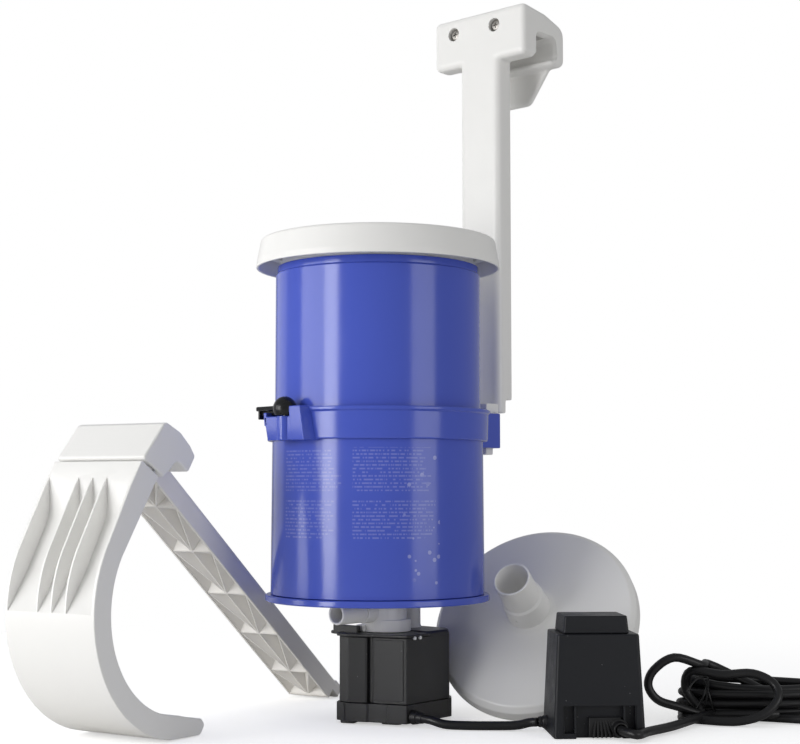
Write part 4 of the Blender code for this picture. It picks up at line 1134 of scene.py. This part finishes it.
def coil_place(along, across, height):
    """A place given in the coil's own directions."""
    return COIL_CENTRE + COIL_ALONG * along + COIL_ACROSS * across + Vector((0, 0, height))


def cables():
    """The pump's cable on the floor, and the coil of mains cable."""
    profile = [(0, 13), (4.9, 13), (5.6, 8), (5.2, 7), (6.2, 6), (7.2, 0), (0, 0)]
    item = turned("gland_boot", profile, axis_frame((48.6, -2, 9), (1, 0, 0)), 48, 0.6)
    piece(item, "skimmer", RUBBER, "cable_gland")
    piece(sweep("pump_lead", smooth_path(PUMP_LEAD, 8), CABLE_RADIUS), "skimmer", RUBBER, "pump_cable")

    way = [CASE_FRAME @ Vector(point) for point in LEAD_START]
    way += [coil_place(*point) for point in LEAD_IN]
    way += [loose_turn(i / COIL_POINTS + 0.25) for i in range(PLAIN_TURNS * COIL_POINTS)]
    way += [coil_place(*point) for point in LOOSE_LOOPS]
    way += [plug_frame() @ Vector((0, 0, height)) for height in (-24, -8, 2)]
    path = smooth_path(way, 5)
    for point in path:
        point.z = max(point.z, CABLE_RADIUS + 0.3)
    piece(sweep("mains_lead", path, CABLE_RADIUS, 16), "skimmer", RUBBER, "mains_cable")


def cable_ends():
    """The mains plug, and the tie round the coil."""
    profile = [(0, 42), (16.5, 42), (18, 40.5), (18, 24), (14.5, 19), (11.5, 16), (10.5, 12), (8, 1), (0, 0)]
    piece(turned("plug_shape", profile, plug_frame(), 64, 1.2), "skimmer", GLOSS_BLACK, "mains_plug")
    tie = []
    for lean, lift, place in ((5.0, 0.0, -60), (-6.0, 1.2, -57), (10.0, 0.6, -64)):
        loop = []
        for k in range(33):
            angle = 2 * math.pi * k / 32
            along = place + lean * math.sin(angle)
            across = COIL_MIDDLE + (31 + lift) * math.cos(angle)
            loop.append(coil_place(along, across, 24.5 + (22 + lift) * math.sin(angle)))
        tie.append(sweep("tie_loop", loop, TIE_RADIUS, 8))
    tail = smooth_path([coil_place(*point) for point in TIE_TAIL], 6)
    tie.append(sweep("tie_tail", tail, TIE_RADIUS, 8))
    piece(merge("coil_tie", tie), "skimmer", RUBBER, "cable_tie")


def plug_frame():
    """The plug's frame: its Z runs from the cable to the pins."""
    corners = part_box("plug_pin_1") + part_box("plug_pin_2")
    tips = sum(corners, Vector()) / 4 / MM
    low, high = low_high("mains_plug")
    heading = tips - (low + high) / 2
    heading.z = 0
    heading.normalize()
    return axis_frame(tips - heading * PLUG_REACH, heading)


def loose_turn(turns):
    """A place on the coil: flat loops that wander and cross, drawn together where they are tied."""
    angle = 2 * math.pi * turns
    index = int(turns)
    layer = (index * 3) % PLAIN_TURNS
    wander = math.sin(2.4 * index + 0.7)
    sway = math.cos(1.7 * index + angle * 0.5)
    tied = max(0.0, -math.cos(angle)) ** 2
    long_radius = 82 + 5 * wander
    short_radius = (34 - 3.0 * ((index * 5) % PLAIN_TURNS) + 3 * sway) * (1 - 0.35 * tied)
    along = 6 + long_radius * math.cos(angle)
    across = COIL_MIDDLE - short_radius * math.sin(angle)
    height = 5.0 + 5.4 * layer * (0.8 + 0.2 * tied) + 2.5 * (1 + math.sin(angle * 1.5 + index))
    return coil_place(along, across, height)


# --- Studio ---

# Lengths in the studio are in metres
PAPER = (1.0, 1.0, 1.0)
FLOOR_REACH = 60.0
FLOOR_GLOW = 0.50
FLOOR_BOUNCE = (0.86, 0.85, 0.83)
FADE_START = 0.35
FADE_END = 1.1
WORLD_LIGHT = 0.35
OVERHEAD = 0.6
STRIP_DISTANCE = 2.2
# Name, azimuth from the camera in degrees (left is negative), angular width, height and strength
STRIPS = [
    ("left_strip", -51, 17, 1.1, 7.5),
    ("left_wing", -76, 30, 1.2, 3.0),
    ("left_rim", -135, 30, 1.4, 0.5),
    ("right_strip", 51, 28, 1.0, 2.1),
]

CAMERA_PLACE = (1.027, -1.136, 0.233)
CAMERA_LENS = 68.5
CAMERA_HEADING = math.radians(41.28)
CAMERA_PITCH = math.radians(4.27)


def soft_light(name, centre, width, height, strength, target):
    """A soft rectangular light, aimed at a target."""
    light = bpy.data.lights.new(name, "AREA")
    light.shape = "RECTANGLE"
    light.size = width
    light.size_y = height
    light.energy = strength * width * height * math.pi
    lamp = link(name, light)
    lamp.location = centre
    lamp.rotation_euler = (Vector(target) - Vector(centre)).to_track_quat("-Z", "Y").to_euler()
    return lamp


def floor_paper():
    """White paper that keeps soft shadows near the object and fades to plain white further off."""
    nodes = Nodes(bpy.data.materials.new("floor_paper"))
    clouded = nodes.mix(nodes.noise(3.0, 2.0), shade(PAPER, 0.89), shade(PAPER, 0.91))
    paper = nodes.add("ShaderNodeBsdfDiffuse", {"Color": clouded}).outputs[0]
    glow = nodes.plain("ShaderNodeEmission", PAPER, FLOOR_GLOW)
    lit = nodes.add("ShaderNodeAddShader", {0: paper, 1: glow}).outputs[0]
    away = nodes.add("ShaderNodeVectorMath", {0: nodes.position()}, operation="LENGTH").outputs["Value"]
    share = nodes.ramp(away, FADE_START, FADE_END, interpolation_type="SMOOTHSTEP")
    white = nodes.plain("ShaderNodeEmission", PAPER, 1.0)
    seen = nodes.add("ShaderNodeMixShader", {0: share, 1: lit, 2: white}).outputs[0]
    dim = nodes.add("ShaderNodeBsdfDiffuse", {"Color": (*FLOOR_BOUNCE, 1.0)}).outputs[0]
    nodes.fill(nodes.tree.nodes["Material Output"], {"Surface": nodes.for_camera(dim, seen)})
    return nodes.owner


def studio():
    """A plain pale floor, an even white surround and tall soft lights."""
    mesh = bpy.data.meshes.new("floor")
    corners = [(x, y, 0) for x, y in rectangle(-FLOOR_REACH, -FLOOR_REACH, FLOOR_REACH, FLOOR_REACH)]
    mesh.from_pydata(corners, [], [(0, 1, 2, 3)])
    mesh.materials.append(floor_paper())
    link("floor", mesh)

    world = bpy.data.worlds.new("studio")
    bpy.context.scene.world = world
    nodes = Nodes(world)
    nodes.tree.nodes.remove(nodes.tree.nodes["Background"])
    surround = nodes.plain("ShaderNodeBackground", (0.97, 0.98, 1.0), WORLD_LIGHT)
    plain = nodes.plain("ShaderNodeBackground", PAPER, 1.0)
    nodes.fill(nodes.tree.nodes["World Output"], {"Surface": nodes.for_camera(surround, plain)})

    for name, azimuth, spread, height, strength in STRIPS:
        angle = CAMERA_HEADING + math.radians(azimuth)
        away = Vector((math.sin(angle), -math.cos(angle), 0))
        width = 2 * STRIP_DISTANCE * math.tan(math.radians(spread / 2))
        middle = Vector((0, 0, height / 2))
        soft_light(name, away * STRIP_DISTANCE + middle, width, height, strength, middle)
    above = soft_light("overhead", (-0.6, -0.4, 2.4), 2.0, 2.0, OVERHEAD, (0, 0, 0.3))
    above.visible_glossy = False


def camera():
    """The camera, tipped up a little."""
    data = bpy.data.cameras.new("camera")
    data.sensor_width = 36.0
    data.lens = CAMERA_LENS
    item = link("camera", data)
    item.location = CAMERA_PLACE
    level = math.cos(CAMERA_PITCH)
    look = (-math.sin(CAMERA_HEADING) * level, math.cos(CAMERA_HEADING) * level, math.sin(CAMERA_PITCH))
    item.rotation_euler = Vector(look).to_track_quat("-Z", "Y").to_euler()
    bpy.context.scene.camera = item


def main():
    """Build every visible piece, the studio and the camera."""
    drum()
    collar()
    latch()
    float_ring()
    basket()
    cartridge()
    hanger()
    clamp()
    ring_bracket()
    pump()
    pump_outlet()
    kept_pieces()
    suction_plate()
    transformer()
    strain_reliefs()
    cables()
    cable_ends()
    studio()
    camera()
    bpy.context.scene.view_settings.view_transform = "Standard"


main()
